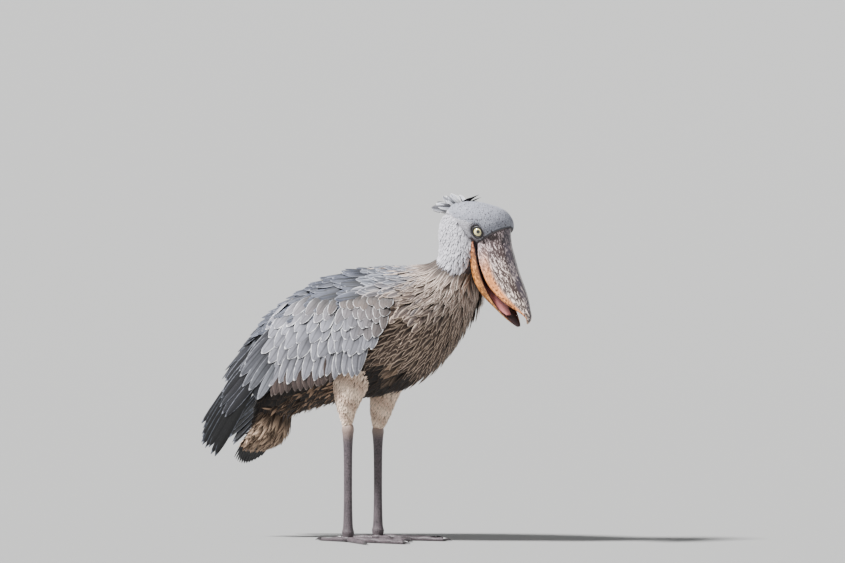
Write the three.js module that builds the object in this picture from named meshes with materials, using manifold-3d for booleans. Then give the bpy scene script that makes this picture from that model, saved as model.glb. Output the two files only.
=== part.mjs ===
// A shoebill standing at rest, life-size, in millimetres.
// +X is the way its body faces, +Y its left and +Z up, with the soles of both feet on Z = 0.
import * as THREE from "three";
import { mergeVertices } from "three/addons/utils/BufferGeometryUtils.js";
import Module from "manifold-3d";

const wasm = await Module();
wasm.setup();

// Driving sizes
const GAP = 0.3; // kept between pieces that touch
const RIGHT = -1; // sign of Y on the bird's right
const LEFT = 1;
const EYES = { x: 330, z: 688 }; // the point midway between the eyes
const BILL_PITCH = 60; // degrees that the bill points below level
const HEAD_TURN = -5; // degrees that the head turns from the body, to its right
const ANKLE = { right: 250, left: 243 }; // height of each ankle
const LEG_SPREAD = 62; // from the midline to each leg
const SHANK_RADIUS = 9.5;
const SOLE_FLAT = 1; // depth by which each pad is flattened by the floor
const VANE = 1.1; // thickness of a body or covert feather's vane

const radians = THREE.MathUtils.degToRad;
const at = (x, y, z) => new THREE.Vector3(x, y, z);
const share = (i, count) => (count > 1 ? i / (count - 1) : 0.5);
const mix = THREE.MathUtils.lerp;

// Seeded noise between -1 and 1, so that each build is the same.
function noise(seed) {
  const wave = Math.sin(seed * 127.1 + 311.7) * 43758.5453;
  return 2 * (wave - Math.floor(wave)) - 1;
}

// Solids

function signedVolume(points, faces) {
  let sum = 0;
  for (const [a, b, c] of faces) {
    sum += points[a].dot(points[b].clone().cross(points[c]));
  }
  return sum;
}

function closedSolid(points, faces) {
  const outward = signedVolume(points, faces) > 0;
  const order = outward ? faces.flat() : faces.flatMap(([a, b, c]) => [a, c, b]);
  return new wasm.Manifold(
    new wasm.Mesh({
      numProp: 3,
      vertProperties: new Float32Array(points.flatMap((p) => [p.x, p.y, p.z])),
      triVerts: new Uint32Array(order),
    }),
  );
}

function solidOf(geometry, matrix = new THREE.Matrix4()) {
  const bare = geometry.clone().applyMatrix4(matrix);
  bare.deleteAttribute("normal");
  bare.deleteAttribute("uv");
  const merged = mergeVertices(bare, 1e-4);
  return new wasm.Manifold(
    new wasm.Mesh({
      numProp: 3,
      vertProperties: merged.attributes.position.array,
      triVerts: new Uint32Array(merged.index.array),
    }),
  );
}

function geometryOf(solid) {
  const mesh = solid.getMesh();
  const geometry = new THREE.BufferGeometry();
  geometry.setAttribute("position", new THREE.BufferAttribute(mesh.vertProperties, 3));
  geometry.setIndex(new THREE.BufferAttribute(mesh.triVerts, 1));
  return geometry;
}

// Keeps only the largest closed surface, which fills hollows and drops scraps.
function largest(solid) {
  const bodies = solid.decompose();
  return bodies.reduce((best, body) => (body.volume() > best.volume() ? body : best));
}

const joined = (solids) => solids.reduce((sum, next) => sum.add(next));

// Joins rings of points into one closed skin, each end closed at the middle of its ring.
function skinOver(rings) {
  const sides = rings[0].length;
  const points = rings.flat();
  const faces = [];
  for (let i = 0; i + 1 < rings.length; i++) {
    for (let j = 0; j < sides; j++) {
      const a = i * sides + j;
      const b = i * sides + ((j + 1) % sides);
      faces.push([a, b, b + sides], [a, b + sides, a + sides]);
    }
  }
  for (const ring of [0, rings.length - 1]) {
    const middle = rings[ring].reduce((sum, p) => sum.add(p), at(0, 0, 0));
    points.push(middle.divideScalar(sides));
    const hub = points.length - 1;
    for (let j = 0; j < sides; j++) {
      const a = ring * sides + j;
      const b = ring * sides + ((j + 1) % sides);
      faces.push(ring ? [hub, a, b] : [hub, b, a]);
    }
  }
  return closedSolid(points, faces);
}

// A trunk is a smooth body round a spine in the XZ plane.
// Each key is [x, z, half width, height above the spine, depth below it].
// Angle 0 is its right side, 90 its top, 180 its left and 270 its underside.
class Trunk {
  constructor(keys, fullness = 2) {
    const smooth = (points) => new THREE.CatmullRomCurve3(points, false, "catmullrom", 0.5);
    this.spine = smooth(keys.map(([x, z]) => at(x, 0, z)));
    this.sizes = smooth(keys.map(([, , side, up, down]) => at(side, up, down)));
    this.fullness = fullness;
  }

  section(t) {
    const along = this.spine.getTangent(t);
    return {
      middle: this.spine.getPoint(t),
      up: at(-along.z, 0, along.x).multiplyScalar(Math.sign(this.lean(along))),
      size: this.sizes.getPoint(t),
    };
  }

  lean(along) {
    return Math.abs(along.x) > Math.abs(along.z) ? along.x : along.z;
  }

  point(t, angle, lift = 0) {
    const { middle, up, size } = this.section(t);
    const across = Math.cos(radians(angle));
    const rise = Math.sin(radians(angle));
    const power = 2 / this.fullness;
    const height = (rise > 0 ? size.y : size.z) + lift;
    return middle
      .addScaledVector(up, Math.sign(rise) * Math.abs(rise) ** power * height)
      .add(at(0, -Math.sign(across) * Math.abs(across) ** power * (size.x + lift), 0));
  }

  normal(t, angle) {
    const step = 0.004;
    const ahead = this.point(Math.min(t + step, 1), angle);
    const behind = this.point(Math.max(t - step, 0), angle);
    const turn = this.point(t, angle + 2).sub(this.point(t, angle - 2));
    const out = turn.cross(ahead.sub(behind)).normalize();
    const away = this.point(t, angle).sub(this.spine.getPoint(t));
    return out.dot(away) < 0 ? out.negate() : out;
  }

  solid(steps, sides, lift = 0) {
    const rings = [];
    for (let i = 0; i <= steps; i++) {
      const ring = [];
      for (let j = 0; j < sides; j++) {
        ring.push(this.point(i / steps, (360 * j) / sides, lift));
      }
      rings.push(ring);
    }
    return skinOver(rings);
  }
}

// Torso and neck in one trunk, from under the tail up to the crown.
const BODY_KEYS = [
  [-268, 268, 26, 22, 22],
  [-222, 315, 56, 46, 46],
  [-160, 362, 84, 84, 72],
  [-80, 410, 103, 122, 102],
  [10, 448, 110, 138, 128],
  [95, 482, 107, 122, 130],
  [165, 520, 94, 100, 108],
  [220, 562, 74, 56, 74],
  [254, 606, 61, 50, 52],
  [266, 650, 57, 55, 50],
  [263, 692, 55, 53, 50],
  [263, 722, 46, 43, 44],
  [262, 740, 24, 24, 24],
];
const BODY_STEPS = 26;
const BODY_SIDES = 22;
const body = new Trunk(BODY_KEYS, 2.15);

// The outer face of the folded wings and back, carried on past the rump to the wing tips.
const MANTLE_KEYS = [
  [215, 545, 92, 82, 92],
  [150, 508, 111, 112, 122],
  [75, 475, 122, 138, 137],
  [-5, 445, 125, 150, 140],
  [-90, 408, 119, 150, 130],
  [-170, 365, 104, 137, 108],
  [-240, 320, 86, 118, 88],
  [-310, 270, 70, 92, 72],
  [-380, 215, 56, 66, 60],
  [-440, 168, 46, 50, 50],
];
const mantle = new Trunk(MANTLE_KEYS, 2.7);

// How far the folded wing stands from the midline at a place in side view.
function flank(x, z) {
  let best = null;
  for (let t = 0; t <= 1; t += 0.01) {
    const along = mantle.spine.getTangent(t);
    const miss = Math.abs(at(x, 0, z).sub(mantle.spine.getPoint(t)).dot(along));
    if (!best || miss < best.miss) best = { t, miss };
  }
  const { middle, up, size } = mantle.section(best.t);
  const rise = at(x, 0, z).sub(middle).dot(up);
  const height = rise > 0 ? size.y : size.z;
  const reach = Math.min(Math.abs(rise) / height, 0.985);
  return size.x * (1 - reach ** mantle.fullness) ** (1 / mantle.fullness);
}

function onFlank(side, x, z, lift = 0) {
  const step = 4;
  const slopeX = (flank(x + step, z) - flank(x - step, z)) / (2 * step);
  const slopeZ = (flank(x, z + step) - flank(x, z - step)) / (2 * step);
  const out = at(-slopeX, side, -slopeZ);
  out.y = side;
  out.normalize();
  return { at: at(x, side * flank(x, z), z).addScaledVector(out, lift), out };
}

// Feathers

// One closed vane through stations of place, way out and half width, with its ridge on the shaft.
// Both faces are split alike, so that they never cross where the vane curves.
function vane(stations, thick, { roll = 0, camber = 0.12, ridge = false } = {}) {
  const columns = ridge ? [-1, 0, 1] : [-1, 1];
  const n = columns.length;
  const top = [];
  const under = [];
  const last = stations.length - 1;
  stations.forEach((here, i) => {
    const ahead = stations[Math.min(i + 1, last)].at;
    const behind = stations[Math.max(i - 1, 0)].at;
    const along = ahead.clone().sub(behind).normalize();
    const side = here.out.clone().cross(along).normalize().applyAxisAngle(along, radians(roll));
    const up = along.clone().cross(side).normalize();
    const depth = thick * mix(1, 0.55, i / last);
    for (const across of columns) {
      const place = here.at
        .clone()
        .addScaledVector(side, across * here.half)
        .addScaledVector(up, across ? -camber * here.half : 0);
      top.push(place);
      under.push(place.clone().addScaledVector(up, -depth));
    }
  });
  const points = [...top, ...under];
  const faces = [];
  const below = top.length;
  for (let i = 0; i < last; i++) {
    for (let j = 0; j < n - 1; j++) {
      const a = n * i + j;
      for (const [p, q, r] of [[a, a + 1, a + n + 1], [a, a + n + 1, a + n]]) {
        faces.push([p, q, r], [below + p, below + r, below + q]);
      }
    }
    for (const j of [0, n - 1]) {
      const a = n * i + j;
      const wall = [[a, a + n, below + a + n], [a, below + a + n, below + a]];
      faces.push(...(j ? wall.map(([p, q, r]) => [p, r, q]) : wall));
    }
  }
  for (const i of [0, last]) {
    for (let j = 0; j < n - 1; j++) {
      const a = n * i + j;
      const wall = [[a, below + a, below + a + 1], [a, below + a + 1, a + 1]];
      faces.push(...(i ? wall.map(([p, q, r]) => [p, r, q]) : wall));
    }
  }
  return closedSolid(points, faces);
}

// Half widths along a feather, as shares of its greatest: rounded tips or long pointed ones.
const ROUND_TIP = [0.6, 1, 0.88, 0.3];
const LONG_TIP = [0.6, 1, 0.95, 0.72, 0.2];
const POINTED_TIP = [0.6, 1, 0.7, 0.12];

// A feather on the folded wing, from its root to its tip in side view, sunk at the root and lifted at the tip.
function wingFeather(side, root, tip, half, { outline = ROUND_TIP, lift = 2, sink = 3, thick = VANE, roll = 0 }) {
  const last = outline.length - 1;
  const stations = outline.map((width, i) => {
    const reach = i / last;
    const height = i ? mix(lift * 0.6, lift, reach) : -sink;
    const spot = onFlank(side, mix(root[0], tip[0], reach), mix(root[1], tip[1], reach), height);
    return { ...spot, half: half * width };
  });
  return vane(stations, thick, { roll: side * roll });
}

// A row of wing feathers between two lines of roots and two of tips, each given at the front and the rear.
function featherRow(side, row) {
  const feathers = [];
  for (let i = 0; i < row.count; i++) {
    const s = share(i, row.count);
    const place = (line) => line.getPoint(s);
    const root = place(row.roots);
    const tip = place(row.tips);
    const stray = row.stray ?? 2;
    feathers.push(
      wingFeather(
        side,
        [root.x, root.y],
        [tip.x + stray * noise(row.seed + i), tip.y + stray * noise(row.seed + i + 50)],
        mix(row.half[0], row.half[1], s),
        row,
      ),
    );
  }
  return feathers;
}

const line = (...points) => new THREE.SplineCurve(points.map(([x, z]) => new THREE.Vector2(x, z)));

// Wings: a core that lies on the flank, and the feather rows that grow from it.

const CORE_OUTLINE = line(
  [166, 508], [142, 560], [90, 598], [20, 606], [-70, 592], [-140, 558], [-200, 505],
  [-240, 440], [-246, 382], [-220, 360], [-165, 360], [-72, 376], [12, 398], [75, 404], [122, 440], [166, 508],
);

const WING_ROWS = [
  { // secondaries, showing below their coverts
    count: 6, seed: 1, half: [23, 23], lift: 1.2, sink: 2, thick: 1.4,
    roots: line([30, 440], [-60, 420], [-150, 410]), tips: line([-5, 362], [-72, 342], [-172, 324]),
  },
  { // greater coverts
    count: 8, seed: 2, half: [23, 22], lift: 3.4,
    roots: line([104, 462], [10, 456], [-130, 432]), tips: line([80, 376], [-20, 368], [-168, 340]),
  },
  { // median coverts
    count: 7, seed: 3, half: [22, 22], lift: 5,
    roots: line([128, 496], [20, 488], [-130, 466]), tips: line([104, 424], [-15, 414], [-172, 390]),
  },
  { // lesser coverts
    count: 6, seed: 4, half: [26, 26], lift: 6.4, outline: POINTED_TIP,
    roots: line([152, 530], [30, 525], [-130, 500]), tips: line([126, 462], [0, 448], [-165, 424]),
  },
  { // primaries, the topmost along the back edge
    count: 6, seed: 6, half: [15, 15], lift: 1.5, sink: 4, thick: 1.6, outline: LONG_TIP,
    roots: line([-190, 470], [-205, 430], [-200, 392]), tips: line([-393, 258], [-397, 218], [-372, 182]),
  },
  { // tertials
    count: 4, seed: 7, half: [21, 22], lift: 6, sink: 4, thick: 1.3, outline: LONG_TIP,
    roots: line([-130, 500], [-140, 470], [-120, 440]), tips: line([-244, 402], [-262, 352], [-210, 314]),
  },
  { // scapulars, over the top of the wing
    count: 5, seed: 8, half: [27, 28], lift: 9, sink: 3,
    roots: line([120, 560], [0, 556], [-130, 524]), tips: line([60, 520], [-70, 500], [-205, 458]),
  },
  {
    count: 4, seed: 9, half: [26, 28], lift: 12, sink: 2,
    roots: line([140, 590], [70, 603], [-30, 597]), tips: line([72, 588], [-10, 582], [-100, 548]),
  },
];

function wing(side) {
  const outline = new THREE.Shape(CORE_OUTLINE.getSpacedPoints(40).slice(0, -1));
  const reach = 160;
  const slab = new THREE.ExtrudeGeometry(outline, { depth: reach, bevelEnabled: false });
  const upright = new THREE.Matrix4().makeRotationX(Math.PI / 2);
  const shift = side === LEFT ? reach + 1 : -1;
  upright.premultiply(new THREE.Matrix4().makeTranslation(0, shift, 0));
  const core = solidOf(slab, upright)
    .intersect(mantle.solid(17, 18))
    .subtract(body.solid(BODY_STEPS, BODY_SIDES, GAP));
  const rows = WING_ROWS.flatMap((row) => featherRow(side, row));
  return largest(joined([core, ...rows]).subtract(body.solid(BODY_STEPS, BODY_SIDES, GAP)));
}

// Head and bill, in a frame of their own: +X along the bill from midway between the eyes, +Z to the culmen.

const headFrame = new THREE.Matrix4()
  .makeTranslation(EYES.x, 0, EYES.z)
  .multiply(new THREE.Matrix4().makeRotationZ(radians(HEAD_TURN)))
  .multiply(new THREE.Matrix4().makeRotationY(radians(BILL_PITCH)));

const placed = (solid, matrix) => solidOf(geometryOf(solid), matrix);

// A shell of cross sections along the bill, each given by a function of its share round the ring.
function sectionLoft(stations, sides, ringPoint) {
  return skinOver(
    stations.map((station) => {
      const ring = [];
      for (let j = 0; j < sides; j++) ring.push(ringPoint(station, (2 * Math.PI * j) / sides));
      return ring;
    }),
  );
}

// Spreads keys smoothly into more stations.
function smoothStations(keys, steps) {
  const tracks = keys[0].map((_, n) => {
    return new THREE.SplineCurve(keys.map((key, i) => new THREE.Vector2(i, key[n])));
  });
  const stations = [];
  for (let i = 0; i <= steps; i++) stations.push(tracks.map((track) => track.getPoint(i / steps).y));
  return stations;
}

// Skull and cheeks: [x, middle z, half width, up, down].
const SKULL_KEYS = [
  [-97, -47, 14, 12, 14],
  [-84, -40, 38, 30, 36],
  [-58, -22, 53, 44, 56],
  [-28, -6, 55, 56, 58],
  [0, 5, 50, 53, 56],
  [20, 12, 40, 40, 56],
];

const EYE = { y: 42, z: 1, radius: 12.5 };
const LID = { out: 7.4, ring: 11.2, thick: 2.6, forward: 18 };

function eyeball(side, radius) {
  const ball = new THREE.SphereGeometry(radius, 14, 9);
  return solidOf(ball, new THREE.Matrix4().makeTranslation(0, side * EYE.y, EYE.z));
}

function lids(side) {
  const ring = new THREE.TorusGeometry(LID.ring, LID.thick, 6, 16);
  ring.rotateX(Math.PI / 2);
  ring.translate(0, side * LID.out, 0);
  ring.rotateZ(-side * radians(LID.forward));
  return solidOf(ring, new THREE.Matrix4().makeTranslation(0, side * EYE.y, EYE.z));
}

function skull(lift = 0) {
  return sectionLoft(smoothStations(SKULL_KEYS, 10), 20, ([x, z, half, up, down], turn) => {
    const rise = Math.sin(turn);
    return at(x, Math.cos(turn) * (half + lift), z + rise * ((rise > 0 ? up : down) + lift));
  });
}

// Crest: narrow feathers from the back of the crown, in a loose fan.
const CREST = { count: 11, length: [52, 70], lie: [192, 252], half: 7.5, roll: 62, root: at(-91, 0, -50) };

function crestFeather(i) {
  const s = share(i, CREST.count);
  const across = 30 * noise(i + 3);
  const lengthways = mix(CREST.length[0], CREST.length[1], s) * (1 + 0.1 * noise(i + 20));
  const start = CREST.root.clone().add(at(3 - 6 * s, 0.5 * across, 8 - 16 * s));
  const lie = radians(mix(CREST.lie[0], CREST.lie[1], s) + 4 * noise(i + 70));
  const heading = at(Math.cos(lie), 0.012 * across, Math.sin(lie) * 0.9 - 0.15).normalize();
  const out = at(-heading.z, 0, heading.x).negate();
  if (out.z < 0) out.negate();
  const stations = POINTED_TIP.map((width, n) => {
    const reach = n / (POINTED_TIP.length - 1);
    const place = start.clone().addScaledVector(heading, lengthways * reach - 10);
    return { at: place.addScaledVector(out, 6 * reach * reach), out, half: CREST.half * width };
  });
  return vane(stations, 1.4, { roll: i % 2 ? CREST.roll : -CREST.roll });
}

// A tuft of short feathers stands up in front of the crest.
const TUFT = { count: 3, length: 36, half: 4.5, root: at(-88, 0, -32) };

function tuftFeather(i) {
  const across = 7 * (i - 1);
  const start = TUFT.root.clone().add(at(4 * i, 0.5 * across, 0));
  const heading = at(0.1 * i - 0.14, 0.03 * across, 1).normalize();
  const out = at(1, 0, -heading.x).normalize();
  const stations = POINTED_TIP.map((width, n) => {
    const reach = n / (POINTED_TIP.length - 1);
    const place = start.clone().addScaledVector(heading, TUFT.length * (1 - 0.1 * i) * reach);
    return { at: place.addScaledVector(out, 5 * reach * reach), out, half: TUFT.half * width };
  });
  return vane(stations, 1.3, { roll: 20 - 40 * (i % 2) });
}

// Upper bill: [x, culmen z, half width, z of the cutting edge].
const UPPER_KEYS = [
  [20.3, 51, 41, -31],
  [45, 37, 46, -40],
  [75, 29, 49, -45],
  [110, 22, 49, -46],
  [145, 19, 44, -38],
  [175, 16, 34, -25],
  [200, 10, 22, -10],
  [215, 6, 12, -5],
  [224, -2, 7, -9],
  [227, -9, 3, -13],
];
const KEEL = { half: 8, rise: 4 };

function upperBill(lift = 0) {
  return sectionLoft(smoothStations(UPPER_KEYS, 16), 20, ([x, top, half, edge], turn) => {
    const across = Math.cos(turn);
    const rise = Math.sin(turn);
    const middle = edge + 0.28 * (top - edge);
    const y = across * (half + lift);
    if (rise < 0) return at(x, y * (1 - 0.1 * rise * rise), middle + rise * (middle - edge + lift));
    const keel = KEEL.rise * Math.exp(-((y / KEEL.half) ** 2));
    return at(x, y * (1 - 0.16 * Math.sin(Math.PI * rise)), middle + rise ** 1.1 * (top - KEEL.rise - middle + lift) + keel * rise);
  });
}

// Nostrils: narrow slits beside the ridge, close to the feathers of the forehead.
const NOSTRIL = { x: 42, y: 16, z: 31, length: 11, wide: 1.8, deep: 7, dip: 20, lean: 25 };

function nostril(side) {
  const slit = new THREE.BoxGeometry(NOSTRIL.length, NOSTRIL.wide, NOSTRIL.deep);
  slit.rotateY(radians(NOSTRIL.dip));
  slit.rotateX(-side * radians(NOSTRIL.lean));
  return solidOf(slit, new THREE.Matrix4().makeTranslation(NOSTRIL.x, side * NOSTRIL.y, NOSTRIL.z));
}

// Lower bill: [x, z of the rim, half width, z of the lower edge].
const LOWER_KEYS = [
  [10, -24, 40, -54],
  [40, -30, 45, -70],
  [70, -36.5, 48, -79],
  [100, -41, 48, -80],
  [130, -44, 44, -73],
  [160, -44.5, 36, -61],
  [190, -41, 25, -50],
  [210, -37, 14, -42],
  [219, -35, 6, -38],
];
const RIM = { wall: 3.5, floor: 3.2 };

function lowerBill(lift = 0) {
  return sectionLoft(smoothStations(LOWER_KEYS, 12), 16, ([x, rim, half, edge], turn) => {
    const rise = Math.sin(turn);
    const depth = rim - edge;
    return at(x, Math.cos(turn) * (half + lift), rise > 0 ? rim + lift : rim + rise * (depth + lift));
  });
}

function lowerHollow(lift = 0) {
  const inner = LOWER_KEYS.slice(1, -1);
  const keys = inner.map(([x, rim, half, edge]) => [x, rim, half - RIM.wall + lift, edge - lift]);
  return sectionLoft(smoothStations(keys, 10), 16, ([x, rim, half, edge], turn) => {
    const rise = Math.sin(turn);
    const depth = Math.max(rim - edge - RIM.floor, 1.5);
    return at(x, Math.cos(turn) * half, rise > 0 ? rim + 8 * rise : rim + rise * depth);
  });
}

// Tongue and the lining round it, a low pad on the floor of the lower bill.
const TONGUE_KEYS = [
  [52, -58, 20, 5],
  [80, -61, 30, 7],
  [110, -61, 31, 7],
  [140, -57, 27, 6],
  [165, -52, 19, 4],
  [184, -46.5, 9, 2.5],
];

function tongue() {
  return sectionLoft(smoothStations(TONGUE_KEYS, 7), 12, ([x, z, half, deep], turn) => {
    return at(x, Math.cos(turn) * half, z + Math.sin(turn) * deep);
  });
}

// Legs

// Feathered thigh: [x, y, z, half length, half width] from inside the flank down to the ankle.
const THIGH_KEYS = {
  right: [
    [34, -68, 425, 56, 26],
    [24, -69, 390, 54, 29],
    [14, -69, 350, 44, 30],
    [4, -67, 313, 30, 25],
    [-1, -64, 284, 19, 17],
    [-2, -62, 262, 12, 12],
    [-2, -62, 254, 9, 9],
  ],
  left: [
    [34, 68, 425, 56, 26],
    [28, 69, 390, 52, 29],
    [20, 69, 350, 42, 30],
    [12, 67, 313, 32, 26],
    [6, 64, 280, 24, 20],
    [3, 62, 256, 15, 14],
    [1, 62, 246, 9, 9],
  ],
};

function thighLoft(keys, lift = 0) {
  return sectionLoft(smoothStations(keys, 9), 16, ([x, y, z, long, wide], turn) => {
    return at(x + Math.cos(turn) * (long + lift), y + Math.sin(turn) * (wide + lift), z);
  });
}

// Bare shank: [height above the sole, swell of the radius], with the ankle and toe joints.
const HUB_HEIGHT = 15;

function shankLoft(side, ankle, lift = 0) {
  const keys = [
    [HUB_HEIGHT - 6, 1.1],
    [HUB_HEIGHT + 6, 1.38],
    [HUB_HEIGHT + 20, 1.12],
    [HUB_HEIGHT + 60, 0.98],
    [0.5 * (HUB_HEIGHT + ankle), 0.94],
    [ankle - 50, 1],
    [ankle - 16, 1.18],
    [ankle - 2, 1.36],
    [ankle + 8, 1.18],
    [ankle + 16, 0.6],
  ];
  return sectionLoft(smoothStations(keys, 11), 10, ([z, swell], turn) => {
    const radius = SHANK_RADIUS * swell + lift;
    return at(radius * 1.08 * Math.cos(turn), side * LEG_SPREAD + radius * 0.92 * Math.sin(turn), z);
  });
}

// Toes: way out from the leg in degrees to its inner side, bare length, thickness and number of pads.
const TOES = [
  { name: "middle", heading: -2, length: 150, radius: 7.6, pads: 3 },
  { name: "inner", heading: 30, length: 112, radius: 7, pads: 2 },
  { name: "outer", heading: -34, length: 118, radius: 7, pads: 3 },
  { name: "hind", heading: 172, length: 74, radius: 6.6, pads: 1 },
];
const TOE_START = 13; // from the leg's middle to each toe's root
const CLAW = { length: 21, root: 0.62 };
const FOOT_TURN = { right: -7, left: 4 };

const floorSlab = solidOf(
  new THREE.BoxGeometry(900, 600, 60),
  new THREE.Matrix4().makeTranslation(0, 0, -30),
);

function toeLoft(toe, lift = 0) {
  const keys = [];
  const steps = 9;
  for (let i = 0; i <= steps; i++) {
    const s = i / steps;
    const pad = 0.5 - 0.5 * Math.cos(2 * Math.PI * (toe.pads + 0.5) * s);
    const taper = mix(1, 0.68, s);
    const end = i === steps ? 0.72 : 1;
    keys.push([s * toe.length, toe.radius * taper * (0.86 + 0.18 * pad) * end]);
  }
  return sectionLoft(keys, 8, ([x, radius], turn) => {
    const height = radius * 0.95 - SOLE_FLAT;
    const girth = radius + lift;
    return at(TOE_START + x, girth * Math.sin(turn), height + girth * 0.95 * Math.cos(turn));
  });
}

function clawLoft(toe) {
  const steps = 5;
  const root = toe.radius * CLAW.root;
  const rings = [];
  for (let i = 0; i <= steps; i++) {
    const s = i / steps;
    const radius = Math.max(root * (1 - s ** 1.4), 0.35);
    const ring = [];
    for (let j = 0; j < 6; j++) {
      const turn = (2 * Math.PI * j) / 6;
      const arch = root * 0.95 + 1.6 * Math.sin(Math.PI * s) - 0.55 * root * s;
      ring.push(
        at(
          TOE_START + toe.length + GAP + s * CLAW.length,
          radius * 0.8 * Math.sin(turn),
          Math.max(arch + radius * Math.cos(turn), 0.2 + 0.02 * j),
        ),
      );
    }
    rings.push(ring);
  }
  return skinOver(rings);
}

function hub(lift = 0) {
  const ball = new THREE.SphereGeometry(TOE_START + lift, 12, 8);
  ball.scale(1.05, 0.95, 0.62);
  return solidOf(ball, new THREE.Matrix4().makeTranslation(0, 0, 7));
}

// Tail: a stub with a fan of stiff feathers, drooping below the wing tips.
const TAIL = {
  root: at(-240, 0, 290), tip: at(-316, 0, 167), count: 9, half: 17, spread: 58, thick: 1.5,
};

const TAIL_STUB_KEYS = [
  [-212, 300, 34, 30, 30],
  [-240, 268, 44, 26, 44],
  [-268, 236, 50, 12, 40],
  [-292, 208, 50, 5, 18],
  [-306, 190, 44, 2, 3],
];
const tailStub = new Trunk(TAIL_STUB_KEYS);

function tailFeather(i, tier) {
  const s = 2 * share(i, TAIL.count) - 1;
  const start = TAIL.root.clone().add(at(0, 14 * s, 0));
  const end = TAIL.tip.clone().add(at(10 * s * s, TAIL.spread * s, 14 * s * s));
  const along = end.clone().sub(start);
  const out = at(along.z, 0, -along.x).normalize();
  out.add(at(0, 0.35 * s, 0)).normalize();
  const lift = 3.2 * (1 - Math.abs(s)) + tier;
  const stations = LONG_TIP.map((width, n) => {
    const reach = n / (LONG_TIP.length - 1);
    const sag = 10 * reach * (1 - reach);
    const place = start.clone().addScaledVector(along, mix(-0.1, 1, reach));
    return { at: place.addScaledVector(out, sag - lift * (n ? 1 : 0)), out: out.clone().negate(), half: TAIL.half * width };
  });
  return vane(stations, TAIL.thick, { roll: 6 });
}

// Assembly

const group = new THREE.Group();

function add(name, solid, colour, roughness = 0.8) {
  const material = new THREE.MeshStandardMaterial({ color: colour, roughness, metalness: 0 });
  const mesh = new THREE.Mesh(geometryOf(solid), material);
  mesh.name = name;
  group.add(mesh);
}

const PLUMAGE = 0x7c7f88;
const DARK_PLUMAGE = 0x3a3c44;
const DOWN = 0xa08a78;
const HORN = 0xc9a58a;
const SKIN = 0x4a4448;
const CLAW_HORN = 0x2c2a2c;
const IRIS = 0xe6dfa0;
const FLESH = 0xd98f92;

// A thin slab across the body that parts one node from the next.
function parting(place, pitch, size) {
  const turn = new THREE.Matrix4().makeRotationY(radians(-pitch));
  turn.premultiply(new THREE.Matrix4().makeTranslation(place.x, 0, place.z));
  return solidOf(new THREE.BoxGeometry(GAP, size, size), turn);
}

const trunk = body.solid(BODY_STEPS, BODY_SIDES);
const skullSolid = placed(joined([skull(), lids(RIGHT), lids(LEFT)]), headFrame);
const crestFeathers = Array.from({ length: CREST.count }, (_, i) => crestFeather(i));
const tuftFeathers = Array.from({ length: TUFT.count }, (_, i) => tuftFeather(i));
const crest = placed(joined([...crestFeathers, ...tuftFeathers]), headFrame);
const upper = placed(upperBill().subtract(joined([nostril(RIGHT), nostril(LEFT)])), headFrame);
const upperGrown = placed(upperBill(GAP), headFrame);
const lower = largest(placed(lowerBill().subtract(lowerHollow()), headFrame).subtract(upperGrown));
const lowerGrown = placed(lowerBill(0.8), headFrame);
const pockets = placed(joined([eyeball(RIGHT, EYE.radius + GAP), eyeball(LEFT, EYE.radius + GAP)]), headFrame);

const NECK_CUT = { x: 262, z: 640 };
const TORSO_CUT = { x: 200, z: 545 };
const TORSO_CUT_PITCH = 48;

const flesh = joined([trunk, skullSolid])
  .subtract(parting(NECK_CUT, 85, 260))
  .subtract(parting(TORSO_CUT, TORSO_CUT_PITCH, 330))
  .subtract(upperGrown)
  .subtract(lowerGrown)
  .subtract(pockets);

const bodies = flesh.decompose().filter((part) => part.volume() > 1000);
bodies.sort((a, b) => a.boundingBox().min[2] - b.boundingBox().min[2]);
const [torso, neck, head] = bodies;

add("torso", torso, PLUMAGE);
add("neck", neck, PLUMAGE);
add("head", largest(head.add(crest).subtract(pockets)), PLUMAGE);
add("bill_upper", upper, HORN, 0.45);
add("bill_lower", lower, HORN, 0.45);
add("tongue", placed(tongue().intersect(lowerHollow(-GAP)), headFrame), FLESH, 0.4);

for (const [name, side] of [["right", RIGHT], ["left", LEFT]]) {
  add(`eye_${name}`, placed(eyeball(side, EYE.radius), headFrame), IRIS, 0.15);
  add(`wing_${name}`, wing(side), DARK_PLUMAGE);
  const bodyGrown = body.solid(BODY_STEPS, BODY_SIDES, GAP);
  const shank = shankLoft(side, ANKLE[name]);
  const thigh = thighLoft(THIGH_KEYS[name]).subtract(bodyGrown);
  add(`thigh_${name}`, largest(thigh.subtract(shankLoft(side, ANKLE[name], GAP))), DOWN);

  const footFrame = new THREE.Matrix4()
    .makeTranslation(0, side * LEG_SPREAD, 0)
    .multiply(new THREE.Matrix4().makeRotationZ(radians(FOOT_TURN[name])));
  const toeFrames = TOES.map((toe) => {
    return footFrame.clone().multiply(new THREE.Matrix4().makeRotationZ(radians(-side * toe.heading)));
  });
  const hubGrown = placed(hub(GAP), footFrame);
  add(`foot_${name}`, placed(hub(), footFrame).subtract(floorSlab), SKIN, 0.6);
  add(`shank_${name}`, largest(shank.subtract(hubGrown)), SKIN, 0.6);
  const taken = [hubGrown, shankLoft(side, ANKLE[name], GAP)];
  TOES.forEach((toe, i) => {
    const solid = placed(toeLoft(toe), toeFrames[i]).subtract(floorSlab).subtract(joined(taken));
    taken.push(placed(toeLoft(toe, GAP), toeFrames[i]));
    add(`toe_${name}_${toe.name}`, largest(solid), SKIN, 0.6);
    add(`claw_${name}_${toe.name}`, placed(clawLoft(toe), toeFrames[i]), CLAW_HORN, 0.35);
  });
}

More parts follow.
